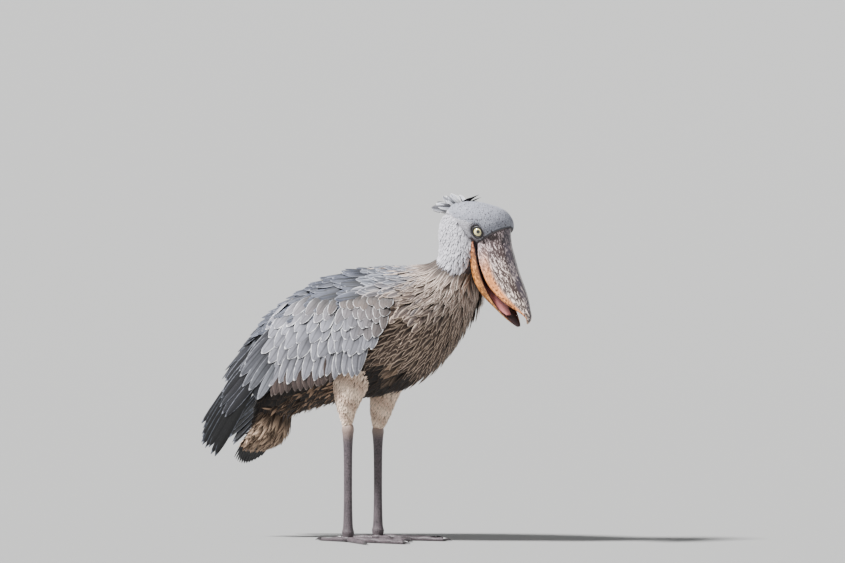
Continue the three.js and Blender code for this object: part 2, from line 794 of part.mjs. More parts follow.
const rectrices = Array.from({ length: TAIL.count }, (_, i) => tailFeather(i, 0));
const tail = joined([tailStub.solid(9, 14), ...rectrices]).subtract(body.solid(BODY_STEPS, BODY_SIDES, GAP));
add("tail", largest(tail), DARK_PLUMAGE);

// The origin is on the floor, under the middle of the bird's bounding box.
const extent = new THREE.Box3().setFromObject(group);
const centre = extent.getCenter(at(0, 0, 0));
group.position.set(-centre.x, -centre.y, -extent.min.z);

export default group;
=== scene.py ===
import math

import bpy
import numpy as np
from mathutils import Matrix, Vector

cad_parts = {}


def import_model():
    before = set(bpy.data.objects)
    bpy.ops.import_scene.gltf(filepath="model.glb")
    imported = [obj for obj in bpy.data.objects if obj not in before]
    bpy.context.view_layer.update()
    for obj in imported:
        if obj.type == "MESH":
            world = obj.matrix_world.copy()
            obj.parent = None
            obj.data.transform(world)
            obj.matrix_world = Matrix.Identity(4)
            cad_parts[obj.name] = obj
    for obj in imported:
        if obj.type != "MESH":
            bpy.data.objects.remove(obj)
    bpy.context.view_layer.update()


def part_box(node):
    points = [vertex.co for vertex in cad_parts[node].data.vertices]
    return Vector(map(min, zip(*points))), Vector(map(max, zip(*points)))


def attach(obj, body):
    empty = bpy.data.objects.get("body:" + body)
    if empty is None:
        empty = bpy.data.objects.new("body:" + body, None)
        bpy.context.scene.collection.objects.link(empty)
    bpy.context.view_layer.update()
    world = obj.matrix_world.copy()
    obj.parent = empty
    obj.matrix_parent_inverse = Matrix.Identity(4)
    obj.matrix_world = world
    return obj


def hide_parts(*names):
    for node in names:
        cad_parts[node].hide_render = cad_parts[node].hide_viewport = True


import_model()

# Skin: one hide under the whole coat, from the crown down to the ankles and the root of the tail.
# It is grown in one piece over the flesh of head, neck, body and thighs, so that no seam shows,
# and lies as deep below the outside of the plumage as the feathers there are thick.

# Places are in millimetres from the floor midway between the feet: X the way the body faces,
# Y the bird's left, Z up.
feet = [sum(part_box("foot_" + side), Vector()) / 2 for side in ("right", "left")]
ORIGIN = np.array(((feet[0].x + feet[1].x) / 2, (feet[0].y + feet[1].y) / 2, 0.0))
SIDES = (("right", -1), ("left", 1))


def world(points):
    """Metres in the row frame."""
    return np.asarray(points) / 1000 + ORIGIN


def srgb(r, g, b):
    c = np.array((r, g, b)) / 255
    return np.where(c <= 0.04045, c / 12.92, ((c + 0.055) / 1.055) ** 2.4)


def paint(r, g, b):
    return (*srgb(r, g, b), 1)


def unit(v):
    return v / np.maximum(np.linalg.norm(v, axis=-1, keepdims=True), 1e-9)


def stacked(*parts):
    """Points, pairs or quads from coordinates given one by one."""
    return np.stack(np.broadcast_arrays(*parts), -1)


def matched(*values):
    """Numbers and arrays brought to one shape."""
    return np.broadcast_arrays(*(np.asarray(value, float) for value in values))


def smooth(keys, t):
    """Values on a smooth curve through evenly spaced keys, for t from 0 to 1."""
    keys = np.asarray(keys, float)
    last = len(keys) - 1
    u = np.clip(np.asarray(t, float), 0, 1) * last
    i = np.minimum(u.astype(int), last - 1)
    f = (u - i)[..., None]
    ends = np.vstack([2 * keys[0] - keys[1], keys, 2 * keys[-1] - keys[-2]])
    a, b, c, d = ends[i], ends[i + 1], ends[i + 2], ends[i + 3]
    return 0.5 * (2 * b + (c - a) * f + (2 * a - 5 * b + 4 * c - d) * f**2 + (3 * b - a - 3 * c + d) * f**3)


def tubes(name, points, uvs, colours, material, slot, angle=50):
    """Many closed tubes as one mesh: points are tube, ring, place round the ring, axis, in metres."""
    n, s, r, _ = points.shape
    base = np.arange(n)[:, None, None] * s * r
    i = np.arange(s - 1)[None, :, None] * r
    j = np.arange(r)[None, None, :]
    k = (j + 1) % r
    quads = stacked(base + i + j, base + i + k, base + i + r + k, base + i + r + j).reshape(-1, 4)
    flat = points.reshape(-1, 3)
    p, q, m, w = (flat[quads[:, c]] for c in range(4))
    volume = np.einsum("ij,ij->", p, np.cross(q, m)) + np.einsum("ij,ij->", p, np.cross(m, w))
    start = base[:, 0, 0][:, None]
    caps = [start + np.arange(r)[::-1], start + (s - 1) * r + np.arange(r)]
    loops = [quads.ravel(), caps[0].ravel(), caps[1].ravel()]
    maps = {}
    for key, uv in uvs.items():
        corner = np.stack((uv[:, :-1, :-1], uv[:, :-1, 1:], uv[:, 1:, 1:], uv[:, 1:, :-1]), 3)
        corner = corner.reshape(-1, 4, 2)
        maps[key] = [corner, uv[:, 0, :-1][:, ::-1].reshape(n, r, 2), uv[:, -1, :-1].reshape(n, r, 2)]
    if volume < 0:
        loops = [quads[:, ::-1].ravel(), caps[0][:, ::-1].ravel(), caps[1][:, ::-1].ravel()]
        maps = {key: [part[:, ::-1] for part in parts] for key, parts in maps.items()}
    sizes = np.concatenate((np.full(len(quads), 4), np.full(2 * n, r)))
    name = name.replace(" ", "_")
    mesh = bpy.data.meshes.new(name)
    mesh.vertices.add(len(flat))
    mesh.vertices.foreach_set("co", flat.astype(np.float32).ravel())
    mesh.loops.add(int(sizes.sum()))
    mesh.loops.foreach_set("vertex_index", np.concatenate(loops).astype(np.int32))
    mesh.polygons.add(len(sizes))
    mesh.polygons.foreach_set("loop_start", (np.cumsum(sizes) - sizes).astype(np.int32))
    mesh.update(calc_edges=True)
    for key, parts in maps.items():
        layer = mesh.uv_layers.new(name=key)
        values = np.concatenate([part.reshape(-1, 2) for part in parts])
        layer.data.foreach_set("uv", values.astype(np.float32).ravel())
    for key, colour in (colours or {}).items():
        layer = mesh.attributes.new(key, "FLOAT_COLOR", "POINT")
        spread = np.repeat(np.asarray(colour, np.float32), s * r, axis=0)
        layer.data.foreach_set("color", spread.ravel())
    obj = bpy.data.objects.new(name, mesh)
    bpy.context.scene.collection.objects.link(obj)
    mesh.materials.append(material)
    bpy.ops.object.select_all(action="DESELECT")
    bpy.context.view_layer.objects.active = obj
    obj.select_set(True)
    bpy.ops.object.shade_smooth_by_angle(angle=math.radians(angle))
    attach(obj, "root")
    return obj


def shell_map(s, r):
    """A UV map along a closed skin of s rings and round its r places."""
    return np.stack(np.meshgrid(np.linspace(0, 1, s), np.linspace(0, 1, r + 1), indexing="ij"), -1)


def loft(name, rings, material, slot, angle=60):
    """One closed skin over rings of points given in millimetres, with a UV map along and round it."""
    rings = np.asarray(rings, float)
    uv = shell_map(*rings.shape[:2])[None]
    return tubes(name, world(rings)[None], {"Shell": uv}, None, material, slot, angle)


def nodes_of(name):
    material = bpy.data.materials.new(name)
    material.use_nodes = True
    tree = material.node_tree
    return material, tree, tree.nodes["Principled BSDF"]


def node(tree, kind, inputs=None, **settings):
    made = tree.nodes.new(kind)
    for key, value in settings.items():
        setattr(made, key, value)
    for key, value in (inputs or {}).items():
        if isinstance(value, bpy.types.NodeSocket):
            tree.links.new(value, made.inputs[key])
        else:
            made.inputs[key].default_value = value
    return made


def mixed(tree, share, a, b, mode="MIX"):
    made = node(tree, "ShaderNodeMix", data_type="RGBA", blend_type=mode)
    for index, value in ((0, share), (6, a), (7, b)):
        if isinstance(value, bpy.types.NodeSocket):
            tree.links.new(value, made.inputs[index])
        else:
            made.inputs[index].default_value = value
    return made.outputs[2]


def noise(tree, where, scale, detail, **more):
    inputs = {"Vector": where, "Scale": scale, "Detail": detail, **more}
    return node(tree, "ShaderNodeTexNoise", inputs).outputs["Fac"]


def dress(tree, shader, colour, relief, strength, depth, roughness):
    """Joins a colour and a fine relief to a shader."""
    tree.links.new(colour, shader.inputs["Base Color"])
    bump = node(tree, "ShaderNodeBump", {"Height": relief, "Strength": strength, "Distance": depth})
    tree.links.new(bump.outputs[0], shader.inputs["Normal"])
    shader.inputs["Roughness"].default_value = roughness


# The trunk, as sections square to a spine.
# Keys are x, z, half width, height above the spine and depth below it.
BODY = np.array((
    (-268, 268, 26, 22, 22), (-222, 315, 56, 46, 46), (-160, 362, 84, 84, 72), (-80, 410, 103, 122, 102),
    (10, 448, 110, 138, 128), (95, 482, 107, 122, 130), (165, 520, 94, 100, 108), (220, 562, 74, 56, 74),
    (254, 606, 61, 50, 52), (266, 650, 57, 55, 50), (263, 692, 55, 53, 50), (263, 722, 46, 43, 44),
    (262, 740, 24, 24, 24),
), float)
TAIL_STUB = np.array((
    (-212, 300, 34, 30, 30), (-240, 268, 44, 26, 44), (-268, 236, 50, 12, 40), (-292, 208, 50, 5, 18),
    (-306, 190, 44, 2, 3),
), float)


def trunk(keys, fullness, t, angle, lift=0.0):
    """Points on a trunk. Angle 0 is its right side, 90 its top, 180 its left and 270 its underside."""
    t, angle, lift = matched(t, angle, lift)
    centre = smooth(keys[:, :2], t)
    along = unit(smooth(keys[:, :2], t + 2e-3) - smooth(keys[:, :2], t - 2e-3))
    lean = np.where(np.abs(along[..., 0]) > np.abs(along[..., 1]), along[..., 0], along[..., 1])
    up = np.stack((-along[..., 1], along[..., 0]), -1) * np.sign(lean)[..., None]
    size = smooth(keys[:, 2:], t)
    c, s = np.cos(np.radians(angle)), np.sin(np.radians(angle))
    power = 2 / fullness
    rise = np.sign(s) * np.abs(s) ** power * (np.where(s > 0, size[..., 1], size[..., 2]) + lift)
    side = -np.sign(c) * np.abs(c) ** power * (size[..., 0] + lift)
    return np.stack((centre[..., 0] + up[..., 0] * rise, side, centre[..., 1] + up[..., 1] * rise), -1)


def body(t, angle, lift=0.0):
    return trunk(BODY, 2.15, t, angle, lift)


def rump(t, angle, lift=0.0):
    return trunk(TAIL_STUB, 2, t, angle, lift)


def turned(angle):
    """A turn about the upright axis."""
    c, s = math.cos(angle), math.sin(angle)
    return np.array(((c, -s, 0), (s, c, 0), (0, 0, 1)))


# Head and bill, in a frame of their own: +X along the bill from midway between the eyes, +Z to the ridge.
EYES = np.array((330.0, 0.0, 688.0))
HEAD_TURN = math.radians(-5)
BILL_PITCH = math.radians(60)
dip = np.array((
    (math.cos(BILL_PITCH), 0, math.sin(BILL_PITCH)),
    (0, 1, 0),
    (-math.sin(BILL_PITCH), 0, math.cos(BILL_PITCH)),
))
HEAD = turned(HEAD_TURN) @ dip
SKULL = np.array((
    (-97, -47, 14, 12, 14), (-84, -40, 38, 30, 36), (-58, -22, 53, 44, 56), (-28, -6, 55, 56, 58),
    (0, 5, 50, 53, 56), (20, 12, 40, 40, 56),
), float)


def from_head(points):
    return np.asarray(points) @ HEAD.T + EYES


def skull_local(t, angle, lift=0.0):
    t, angle, lift = matched(t, angle, lift)
    x, z, half, up, down = np.moveaxis(smooth(SKULL, t), -1, 0)
    c, s = np.cos(np.radians(angle)), np.sin(np.radians(angle))
    return np.stack((x, -c * (half + lift), z + s * (np.where(s > 0, up, down) + lift)), -1)


def skull(t, angle, lift=0.0):
    return from_head(skull_local(t, angle, lift))


# Thighs, feathered down to the ankles: x, y, z, half length and half width.
THIGHS = {
    -1: np.array((
        (34, -68, 425, 56, 26), (24, -69, 390, 54, 29), (14, -69, 350, 44, 30), (4, -67, 313, 30, 25),
        (-1, -64, 284, 19, 17), (-2, -62, 262, 12, 12), (-2, -62, 254, 9, 9),
    ), float),
    1: np.array((
        (34, 68, 425, 56, 26), (28, 69, 390, 52, 29), (20, 69, 350, 42, 30), (12, 67, 313, 32, 26),
        (6, 64, 280, 24, 20), (3, 62, 256, 15, 14), (1, 62, 246, 9, 9),
    ), float),
}


def thigh(side):
    keys = THIGHS[side]

    def surface(t, angle, lift=0.0):
        t, angle, lift = matched(t, angle, lift)
        x, y, z, long, wide = np.moveaxis(smooth(keys, 1 - t), -1, 0)
        c, s = np.cos(np.radians(angle)), np.sin(np.radians(angle))
        return np.stack((x + c * (long + lift), y + s * (wide + lift), z), -1)

    return surface


skin_material, tree, shader = nodes_of("skin")
coat_at = node(tree, "ShaderNodeTexCoord").outputs["Object"]
grain = noise(tree, coat_at, 160, 4)
colour = mixed(tree, grain, paint(58, 52, 54), paint(104, 96, 98))
dress(tree, shader, colour, grain, 0.5, 0.001, 0.75)

tt, aa = np.meshgrid(np.linspace(0, 1, 70), np.arange(0, 360, 6), indexing="ij")
depths = np.interp(tt, (0, 0.1, 0.5, 0.62, 0.75, 1), (-8, -12, -12, -9, -4, -4))
parts = [loft("skin", body(tt, aa, depths), skin_material, "plumage_body")]
tt, aa = np.meshgrid(np.linspace(0, 1, 24), np.arange(0, 360, 8), indexing="ij")
parts.append(loft("skull", skull(tt, aa, -2.5), skin_material, "plumage_body"))
parts.append(loft("stub", rump(tt, aa, -5.0), skin_material, "plumage_body"))
for name, side in SIDES:
    parts.append(loft("thigh", thigh(side)(tt, aa, -4.0), skin_material, "plumage_body"))
bpy.ops.object.select_all(action="DESELECT")
for part in parts:
    part.select_set(True)
skin = parts[0]
bpy.context.view_layer.objects.active = skin
bpy.ops.object.join()
remesh = skin.modifiers.new("one skin", "REMESH")
remesh.mode = "VOXEL"
remesh.voxel_size = 0.004  # finer than the coat is deep
remesh.use_smooth_shade = True
bpy.ops.object.modifier_apply(modifier=remesh.name)
even = skin.modifiers.new("even", "SMOOTH")
even.iterations = 4
bpy.ops.object.modifier_apply(modifier=even.name)
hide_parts("torso", "neck", "head", "thigh_right", "thigh_left")

# Body feathers: lance-shaped feathers of grey-brown keratin, pale along the edge.
# Each is rooted in the skin and lies down the neck and the breast over the next, longest on the breast.
rng = np.random.default_rng(7)


def smoothstep(a, b, x):
    f = np.clip((np.asarray(x, float) - a) / (b - a), 0, 1)
    return f * f * (3 - 2 * f)


def maths(tree, operation, a, b=0.0, c=0.0):
    return node(tree, "ShaderNodeMath", {0: a, 1: b, 2: c}, operation=operation).outputs[0]


def step(tree, value, low, high):
    """0 below low and 1 above high, smooth between."""
    made = node(tree, "ShaderNodeMapRange", {"Value": value, "From Min": low, "From Max": high})
    made.interpolation_type = "SMOOTHSTEP"
    return made.outputs["Result"]


def grey(value):
    return (value, value, value, 1)


def group(name, inputs, outputs):
    """A node group, with the sockets that bring its inputs and take its outputs."""
    tree = bpy.data.node_groups.new(name, "ShaderNodeTree")
    for way, sockets in (("INPUT", inputs), ("OUTPUT", outputs)):
        for key, kind in sockets.items():
            tree.interface.new_socket(key, in_out=way, socket_type="NodeSocket" + kind)
    given, result = tree.nodes.new("NodeGroupInput"), tree.nodes.new("NodeGroupOutput")
    return tree, given.outputs, result.inputs


# The pattern of one vane: its tint, paler or darker along the rim, with a shaft, fine barbs and painted shade
# toward its root.
vane_pattern, given, result = group(
    "vane pattern",
    {"Tint": "Color", "Shaft": "Float", "Rim": "Color", "Rim Strength": "Float", "Vane": "Vector",
     "Place": "Vector", "Barb Count": "Float", "Rim From": "Float"},
    {"Colour": "Color", "Barbs": "Float"},
)
split = node(vane_pattern, "ShaderNodeSeparateXYZ", {0: given["Vane"]})
off = maths(vane_pattern, "ABSOLUTE", maths(vane_pattern, "MULTIPLY_ADD", split.outputs[0], 2, -1))
mottle = noise(vane_pattern, given["Place"], 95, 3)
wobble = maths(vane_pattern, "MULTIPLY_ADD", mottle, 0.24, -0.12)
edge = step(vane_pattern, maths(vane_pattern, "ADD", off, wobble), given["Rim From"], 0.97)
ahead = maths(vane_pattern, "ADD", split.outputs[1], maths(vane_pattern, "MULTIPLY", wobble, 0.4))
tip = step(vane_pattern, ahead, 0.95, 0.99)
mask = maths(vane_pattern, "MULTIPLY", maths(vane_pattern, "MAXIMUM", edge, tip), given["Rim Strength"])
colour = mixed(vane_pattern, mask, given["Tint"], given["Rim"])
shaft = maths(vane_pattern, "SUBTRACT", 1, step(vane_pattern, off, 0.04, 0.2))
shaft = maths(vane_pattern, "MULTIPLY", shaft, given["Shaft"])
colour = mixed(vane_pattern, shaft, colour, grey(0.012))
slant = maths(vane_pattern, "MULTIPLY_ADD", off, -0.35, split.outputs[1])
turns = maths(vane_pattern, "MULTIPLY", given["Barb Count"], 2 * math.pi)
ripple = maths(vane_pattern, "SINE", maths(vane_pattern, "MULTIPLY", slant, turns))
# Painted shade: each vane darkens toward its root, where the feather above would shade it.
painted_root_shade = maths(vane_pattern, "MULTIPLY_ADD", step(vane_pattern, split.outputs[1], 0.25, 0.85), 0.84, 0.26)
shade = maths(vane_pattern, "MULTIPLY_ADD", mottle, 0.5, 0.75)
shade = maths(vane_pattern, "MULTIPLY_ADD", ripple, 0.05, shade)
shade = maths(vane_pattern, "MULTIPLY", shade, painted_root_shade)
shaded = node(vane_pattern, "ShaderNodeCombineColor", {0: shade, 1: shade, 2: shade}).outputs[0]
colour = mixed(vane_pattern, 1.0, colour, shaded, "MULTIPLY")
vane_pattern.links.new(colour, result["Colour"])
vane_pattern.links.new(ripple, result["Barbs"])


def feather_material(name, barbs=46, roughness=0.62, down=0.0, gloss=0.25, rim_from=0.66):
    """The vane pattern over each feather's own tint and rim colour."""
    material, tree, shader = nodes_of(name)
    tint = node(tree, "ShaderNodeAttribute", attribute_name="tint")
    rim = node(tree, "ShaderNodeAttribute", attribute_name="rim")
    pattern = node(tree, "ShaderNodeGroup", node_tree=vane_pattern, inputs={
        "Tint": tint.outputs["Color"],
        "Shaft": tint.outputs["Alpha"],
        "Rim": rim.outputs["Color"],
        "Rim Strength": rim.outputs["Alpha"],
        "Vane": node(tree, "ShaderNodeUVMap", uv_map="Vane").outputs["UV"],
        "Place": node(tree, "ShaderNodeTexCoord").outputs["Object"],
        "Barb Count": barbs,
        "Rim From": rim_from,
    })
    dress(tree, shader, pattern.outputs["Colour"], pattern.outputs["Barbs"], 0.25, 0.0004, roughness)
    shader.inputs["Specular IOR Level"].default_value = gloss
    shader.inputs["Sheen Weight"].default_value = down
    shader.inputs["Sheen Roughness"].default_value = 0.5
    return material


body_feather = feather_material("body feather", down=0.04, rim_from=0.5)

# A vane is closed: a rounded or pointed blade, thickest along its shaft and curved down at its edges.
# Each section lists places round it: across it, and above its plane. Each outline lists widths along it.
THIN = (np.array((-1, 0, 1.0)), np.array((0, 1, 0.0)))
SPEAR = (np.array((0, 0.3, 0.62, 0.86, 1)), np.array((0.45, 1, 0.84, 0.45, 0.05)))


def vanes(name, line, up, half, thick, outline, section, tint, rim, place, material, slot,
          roll=None, camber=0.22):
    """Feathers as one mesh, from each one's line and upward side at its stations, in millimetres."""
    across, rise = section
    profile = outline[1]
    n, s, _ = line.shape
    along = unit(np.gradient(line, axis=1))
    side = unit(np.cross(up, along))
    up = np.cross(along, side)
    if roll is not None:
        c, d = np.cos(roll)[:, None, None], np.sin(roll)[:, None, None]
        side, up = side * c + up * d, up * c - side * d
    width = (np.broadcast_to(half, (n,))[:, None] * profile)[..., None]
    taper = np.linspace(1, 0.45, s)[None, :, None]
    height = np.broadcast_to(thick, (n,))[:, None, None] * taper * rise - camber * width * across**2
    points = line[:, :, None] + side[:, :, None] * (width * across)[..., None]
    points = points + up[:, :, None] * height[..., None]
    across_uv = np.append(across, across[0]) * 0.5 + 0.5
    vane_uv = stacked(across_uv[None, :], outline[0][:, None])
    vane_uv = np.broadcast_to(vane_uv, (n, s, len(across) + 1, 2))
    bake_uv = np.asarray(place)[:, None, None] + 0.003 * (vane_uv - 0.5)
    uvs = {"Vane": vane_uv, "OFBake": bake_uv}
    return tubes(name, world(points), uvs, {"tint": tint, "rim": rim}, material, slot)


def coloured(base, spread, alpha, count):
    """A colour with an alpha for each of many feathers, a little lighter or darker from one to the next."""
    base = np.broadcast_to(np.asarray(base, float), (count, 3))
    shade = 1 + spread * rng.uniform(-1, 1, (count, 1))
    return np.hstack((np.clip(base * shade, 0, 1), np.full((count, 1), float(alpha))))


def blend(a, b, share):
    share = np.asarray(share)[:, None]
    return np.asarray(a) * (1 - share) + np.asarray(b) * share


def normals(surface, t, angle):
    across = surface(t, angle + 1.5) - surface(t, angle - 1.5)
    ahead = surface(t + 4e-3, angle) - surface(t - 4e-3, angle)
    out = unit(np.cross(across, ahead))
    away = surface(t, angle, 10.0) - surface(t, angle)
    return out * np.sign(np.sum(out * away, -1, keepdims=True))


def scatter(surface, low, high, spacing, angles=(0, 360), jitter=0.3):
    """Roots in staggered rows down a surface, from t high to t low."""
    found = []
    t, row = high, 0
    fan = np.linspace(angles[0], angles[1], 73)
    while t > low:
        along, across = spacing(t) if callable(spacing) else spacing
        ring = surface(np.full(len(fan), t), fan)
        travel = np.concatenate(([0], np.cumsum(np.linalg.norm(np.diff(ring, axis=0), axis=1))))
        count = max(int(travel[-1] / across), 3)
        spots = (np.arange(count) + 0.5 * (row % 2) + 0.25 + jitter * rng.uniform(-0.5, 0.5, count)) / count
        a = np.interp(spots * travel[-1], travel, fan)
        ahead, behind = surface(np.full(len(fan), t + 2e-3), fan), surface(np.full(len(fan), t - 2e-3), fan)
        speed = np.linalg.norm(ahead - behind, axis=1) / 4e-3
        pace = along / np.percentile(speed, 70)
        found.append(np.stack((t + jitter * pace * rng.uniform(-0.5, 0.5, count), a), -1))
        t -= pace
        row += 1
    return np.concatenate(found)


def coat(name, surface, roots, length, half, depth, lift, tint, rim, material, slot,
         outline=SPEAR, section=THIN, thick=0.7, lean=0.0, splay=6.0, uv=(0, 0, 1, 1), direction=-1):
    """Feathers that lie down a surface, from roots sunk by depth to lifted tips."""
    t, a = roots[:, 0], roots[:, 1]
    n = len(t)
    v = outline[0]
    speed = np.linalg.norm(surface(t + 2e-3, a) - surface(t - 2e-3, a), axis=1) / 4e-3
    turn = np.linalg.norm(surface(t, a + 1) - surface(t, a - 1), axis=1) / 2
    length = np.broadcast_to(length, (n,)) * rng.uniform(0.88, 1.12, n)
    aim = np.radians(rng.normal(0, splay, n)) + np.radians(lean)
    dt = direction * length * np.cos(aim) / np.maximum(speed, 1e-6)
    da = length * np.sin(aim) / np.maximum(turn, 0.2)
    tt = t[:, None] + dt[:, None] * v
    aa = a[:, None] + da[:, None] * v
    depth, lift = np.broadcast_to(depth, (n,)), np.broadcast_to(lift, (n,))
    height = -depth[:, None] * (1 - v) ** 1.4 + (lift * rng.uniform(0.3, 1.3, n))[:, None] * v**1.5
    line = surface(tt, aa, height)
    past = np.maximum(0, np.maximum(-tt, tt - 1))[..., None]
    near = np.clip(tt, 0.01, 0.99)
    heading = unit(surface(near + direction * 5e-3, aa) - surface(near, aa))
    line = line + heading * past * speed[:, None, None]
    up = normals(surface, near, aa)
    place = np.stack((uv[0] + uv[2] * (a % 360) / 360, uv[1] + uv[3] * np.clip(t, 0, 1)), -1)
    half = np.broadcast_to(half, (n,)) * rng.uniform(0.9, 1.1, n)
    roll = np.radians(rng.normal(0, 5, n))
    return vanes(name, line, up, half, thick, outline, section, tint, rim, place, material, slot, roll=roll)


def under_wing(p):
    """True where the folded wing covers the body."""
    edge_at, edge = (-240, -170, -70, 10, 75, 120, 150, 168), (338, 345, 368, 392, 406, 440, 500, 560)
    edge = np.interp(p[:, 0], edge_at, edge)
    front = np.interp(p[:, 2], (376, 424, 455, 478, 499, 518, 560), (62, 88, 106, 118, 128, 134, 150))
    return (p[:, 2] > edge) & (p[:, 0] < front)


def in_skull(p, margin=2.0):
    local = (p - EYES) @ HEAD
    t = np.interp(local[:, 0], SKULL[:, 0], np.linspace(0, 1, len(SKULL)))
    _, z, half, up, down = np.moveaxis(smooth(SKULL, t), -1, 0)
    rise = local[:, 2] - z
    tall = np.where(rise > 0, up, down) - margin
    inside = (local[:, 1] / (half - margin)) ** 2 + (rise / tall) ** 2 < 1
    return inside & (local[:, 0] > -95) & (local[:, 0] < 19)


def jaw_fold(p):
    """1 along the fold that runs from the nape to the angle of the jaw, falling to 0 beside it; feathers
    there are darkened as painted shade in the crease.
    """
    height = p[:, 2] - 638 + 0.433 * (p[:, 0] - 230)
    return np.exp(-((height / 4.8) ** 2)) * smoothstep(222, 232, p[:, 0]) * smoothstep(300, 288, p[:, 0])


def body_spacing(t):
    return (
        np.interp(t, (0, 0.3, 0.55, 0.68, 0.8, 1), (11, 13, 13, 9, 5.5, 4)),
        np.interp(t, (0, 0.3, 0.55, 0.68, 0.8, 1), (10, 11, 10, 7.5, 5, 4)),
    )


roots = scatter(body, 0.02, 0.985, body_spacing)
at = body(roots[:, 0], roots[:, 1])
local = (at - EYES) @ HEAD
JAW_AT = (4, 10, 40, 70)
in_mouth = (local[:, 0] > 4) & (local[:, 2] > np.interp(local[:, 0], JAW_AT, (-50, -54, -70, -79)) - 3)
in_mouth &= np.abs(local[:, 1]) < np.interp(local[:, 0], JAW_AT, (36, 38, 43, 46))
roots = roots[~under_wing(at) & ~in_skull(at) & ~in_mouth]
at = body(roots[:, 0], roots[:, 1])
t, a = roots[:, 0], roots[:, 1] % 360
count = len(roots)
below = 0.5 - 0.5 * np.sin(np.radians(a))  # 0 on the back and nape, 1 on the breast and throat
jaw = at[:, 2] - 628 + 0.37 * (np.clip(at[:, 0], 200, 320) - 230)
up_neck = smoothstep(-5, 6, jaw)
# belly marks the underside of the trunk. It places painted shade there, and also the real tan patches.
belly = smoothstep(428, 398, at[:, 2]) * smoothstep(205, 170, at[:, 0])
patches = np.sin(at[:, 0] / 17 + 2 * np.sin(at[:, 2] / 23)) * np.sin(at[:, 1] / 15 + at[:, 2] / 31)
patches = 0.5 + 0.5 * patches
tint = blend(srgb(104, 94, 90), srgb(76, 62, 54), smoothstep(0.15, 0.5, below))
rim = blend(srgb(208, 196, 188), srgb(206, 182, 162), smoothstep(0.15, 0.5, below))
high = smoothstep(-120, -10, jaw)
tint = blend(tint, srgb(142, 124, 113), high)
rim = blend(rim, srgb(240, 224, 210), high)
# Painted shade: a dark band on the throat just below the jaw line, under the head.
under = np.exp(-(((jaw + 8) / 5) ** 2)) * smoothstep(0.3, 0.55, below)
tint = blend(tint, srgb(44, 38, 38), 0.85 * under)
rim = blend(rim, srgb(84, 74, 72), 0.85 * under)
tint = blend(tint, srgb(186, 184, 191), up_neck)
rim = blend(rim, srgb(204, 202, 209), up_neck)
# Painted shade in the crease of the jaw fold.
fold = 0.9 * jaw_fold(at)
tint = blend(tint, srgb(58, 52, 54), fold)
rim = blend(rim, srgb(80, 72, 74), fold)
# Painted shade: the underside, turned away from the light, is painted almost black.
tint = blend(tint, srgb(24, 19, 17), belly)
rim = blend(rim, srgb(60, 48, 40), belly)
tan = belly * smoothstep(0.72, 0.92, patches) * smoothstep(330, 350, at[:, 2])
tint = blend(tint, srgb(160, 132, 110), tan)
rim = blend(rim, srgb(190, 166, 142), tan)
length = np.interp(t, (0, 0.25, 0.5, 0.62, 0.72, 0.82, 1), (44, 52, 62, 46, 26, 16, 11))
half = np.interp(t, (0, 0.25, 0.5, 0.62, 0.72, 0.82, 1), (8, 8.5, 8, 6.5, 4.6, 3.4, 2.8))
depth = np.interp(t, (0, 0.1, 0.5, 0.62, 0.75, 1), (6, 9, 10, 7, 3.5, 3))
lift = np.interp(t, (0, 0.5, 0.62, 0.8), (5, 5.5, 4.2, 1))
shaft = 0.65 * (1 - up_neck)
tint4 = coloured(tint, 0.16, 0, count)
tint4[:, 3] = shaft
rim4 = coloured(rim, 0.12, 0.85, count)
for key, pick in (("breast and neck feathers", t > 0.46), ("belly feathers", t <= 0.46)):
    coat(key, body, roots[pick], length[pick], half[pick], depth[pick], lift[pick], tint4[pick], rim4[pick],
         body_feather, "plumage_body", uv=(0, 0, 0.48, 0.48))

# Head feathers: very short, dense feathers, darker on the cap and over the forehead.
# They grow straight from the skin, and stop at the bare rings of the eyes and at the gape.
head_feather = feather_material("head feather", barbs=8, down=0.1)
SMALL = (np.array((0, 0.45, 0.8, 1)), np.array((0.55, 1, 0.72, 0.08)))


def in_trunk(p, margin=3.0):
    t = np.linspace(0, 1, 161)
    centre = smooth(BODY[:, :2], t)
    along = unit(smooth(BODY[:, :2], t + 2e-3) - smooth(BODY[:, :2], t - 2e-3))
    offset = p[:, None, ::2] - centre[None]
    miss = np.abs(np.sum(offset * along, -1)) + 0.02 * np.linalg.norm(offset, axis=-1)
    best = np.argmin(miss, axis=1)
    rows = np.arange(len(p))
    size = smooth(BODY[:, 2:], t[best])
    up = np.stack((-along[best, 1], along[best, 0]), -1)
    lean = np.where(np.abs(along[best, 0]) > np.abs(along[best, 1]), along[best, 0], along[best, 1])
    rise = np.sum(offset[rows, best] * up, -1) * np.sign(lean)
    tall = np.where(rise > 0, size[:, 1], size[:, 2]) - margin
    return (p[:, 1] / (size[:, 0] - margin)) ** 2 + (rise / tall) ** 2 < 1


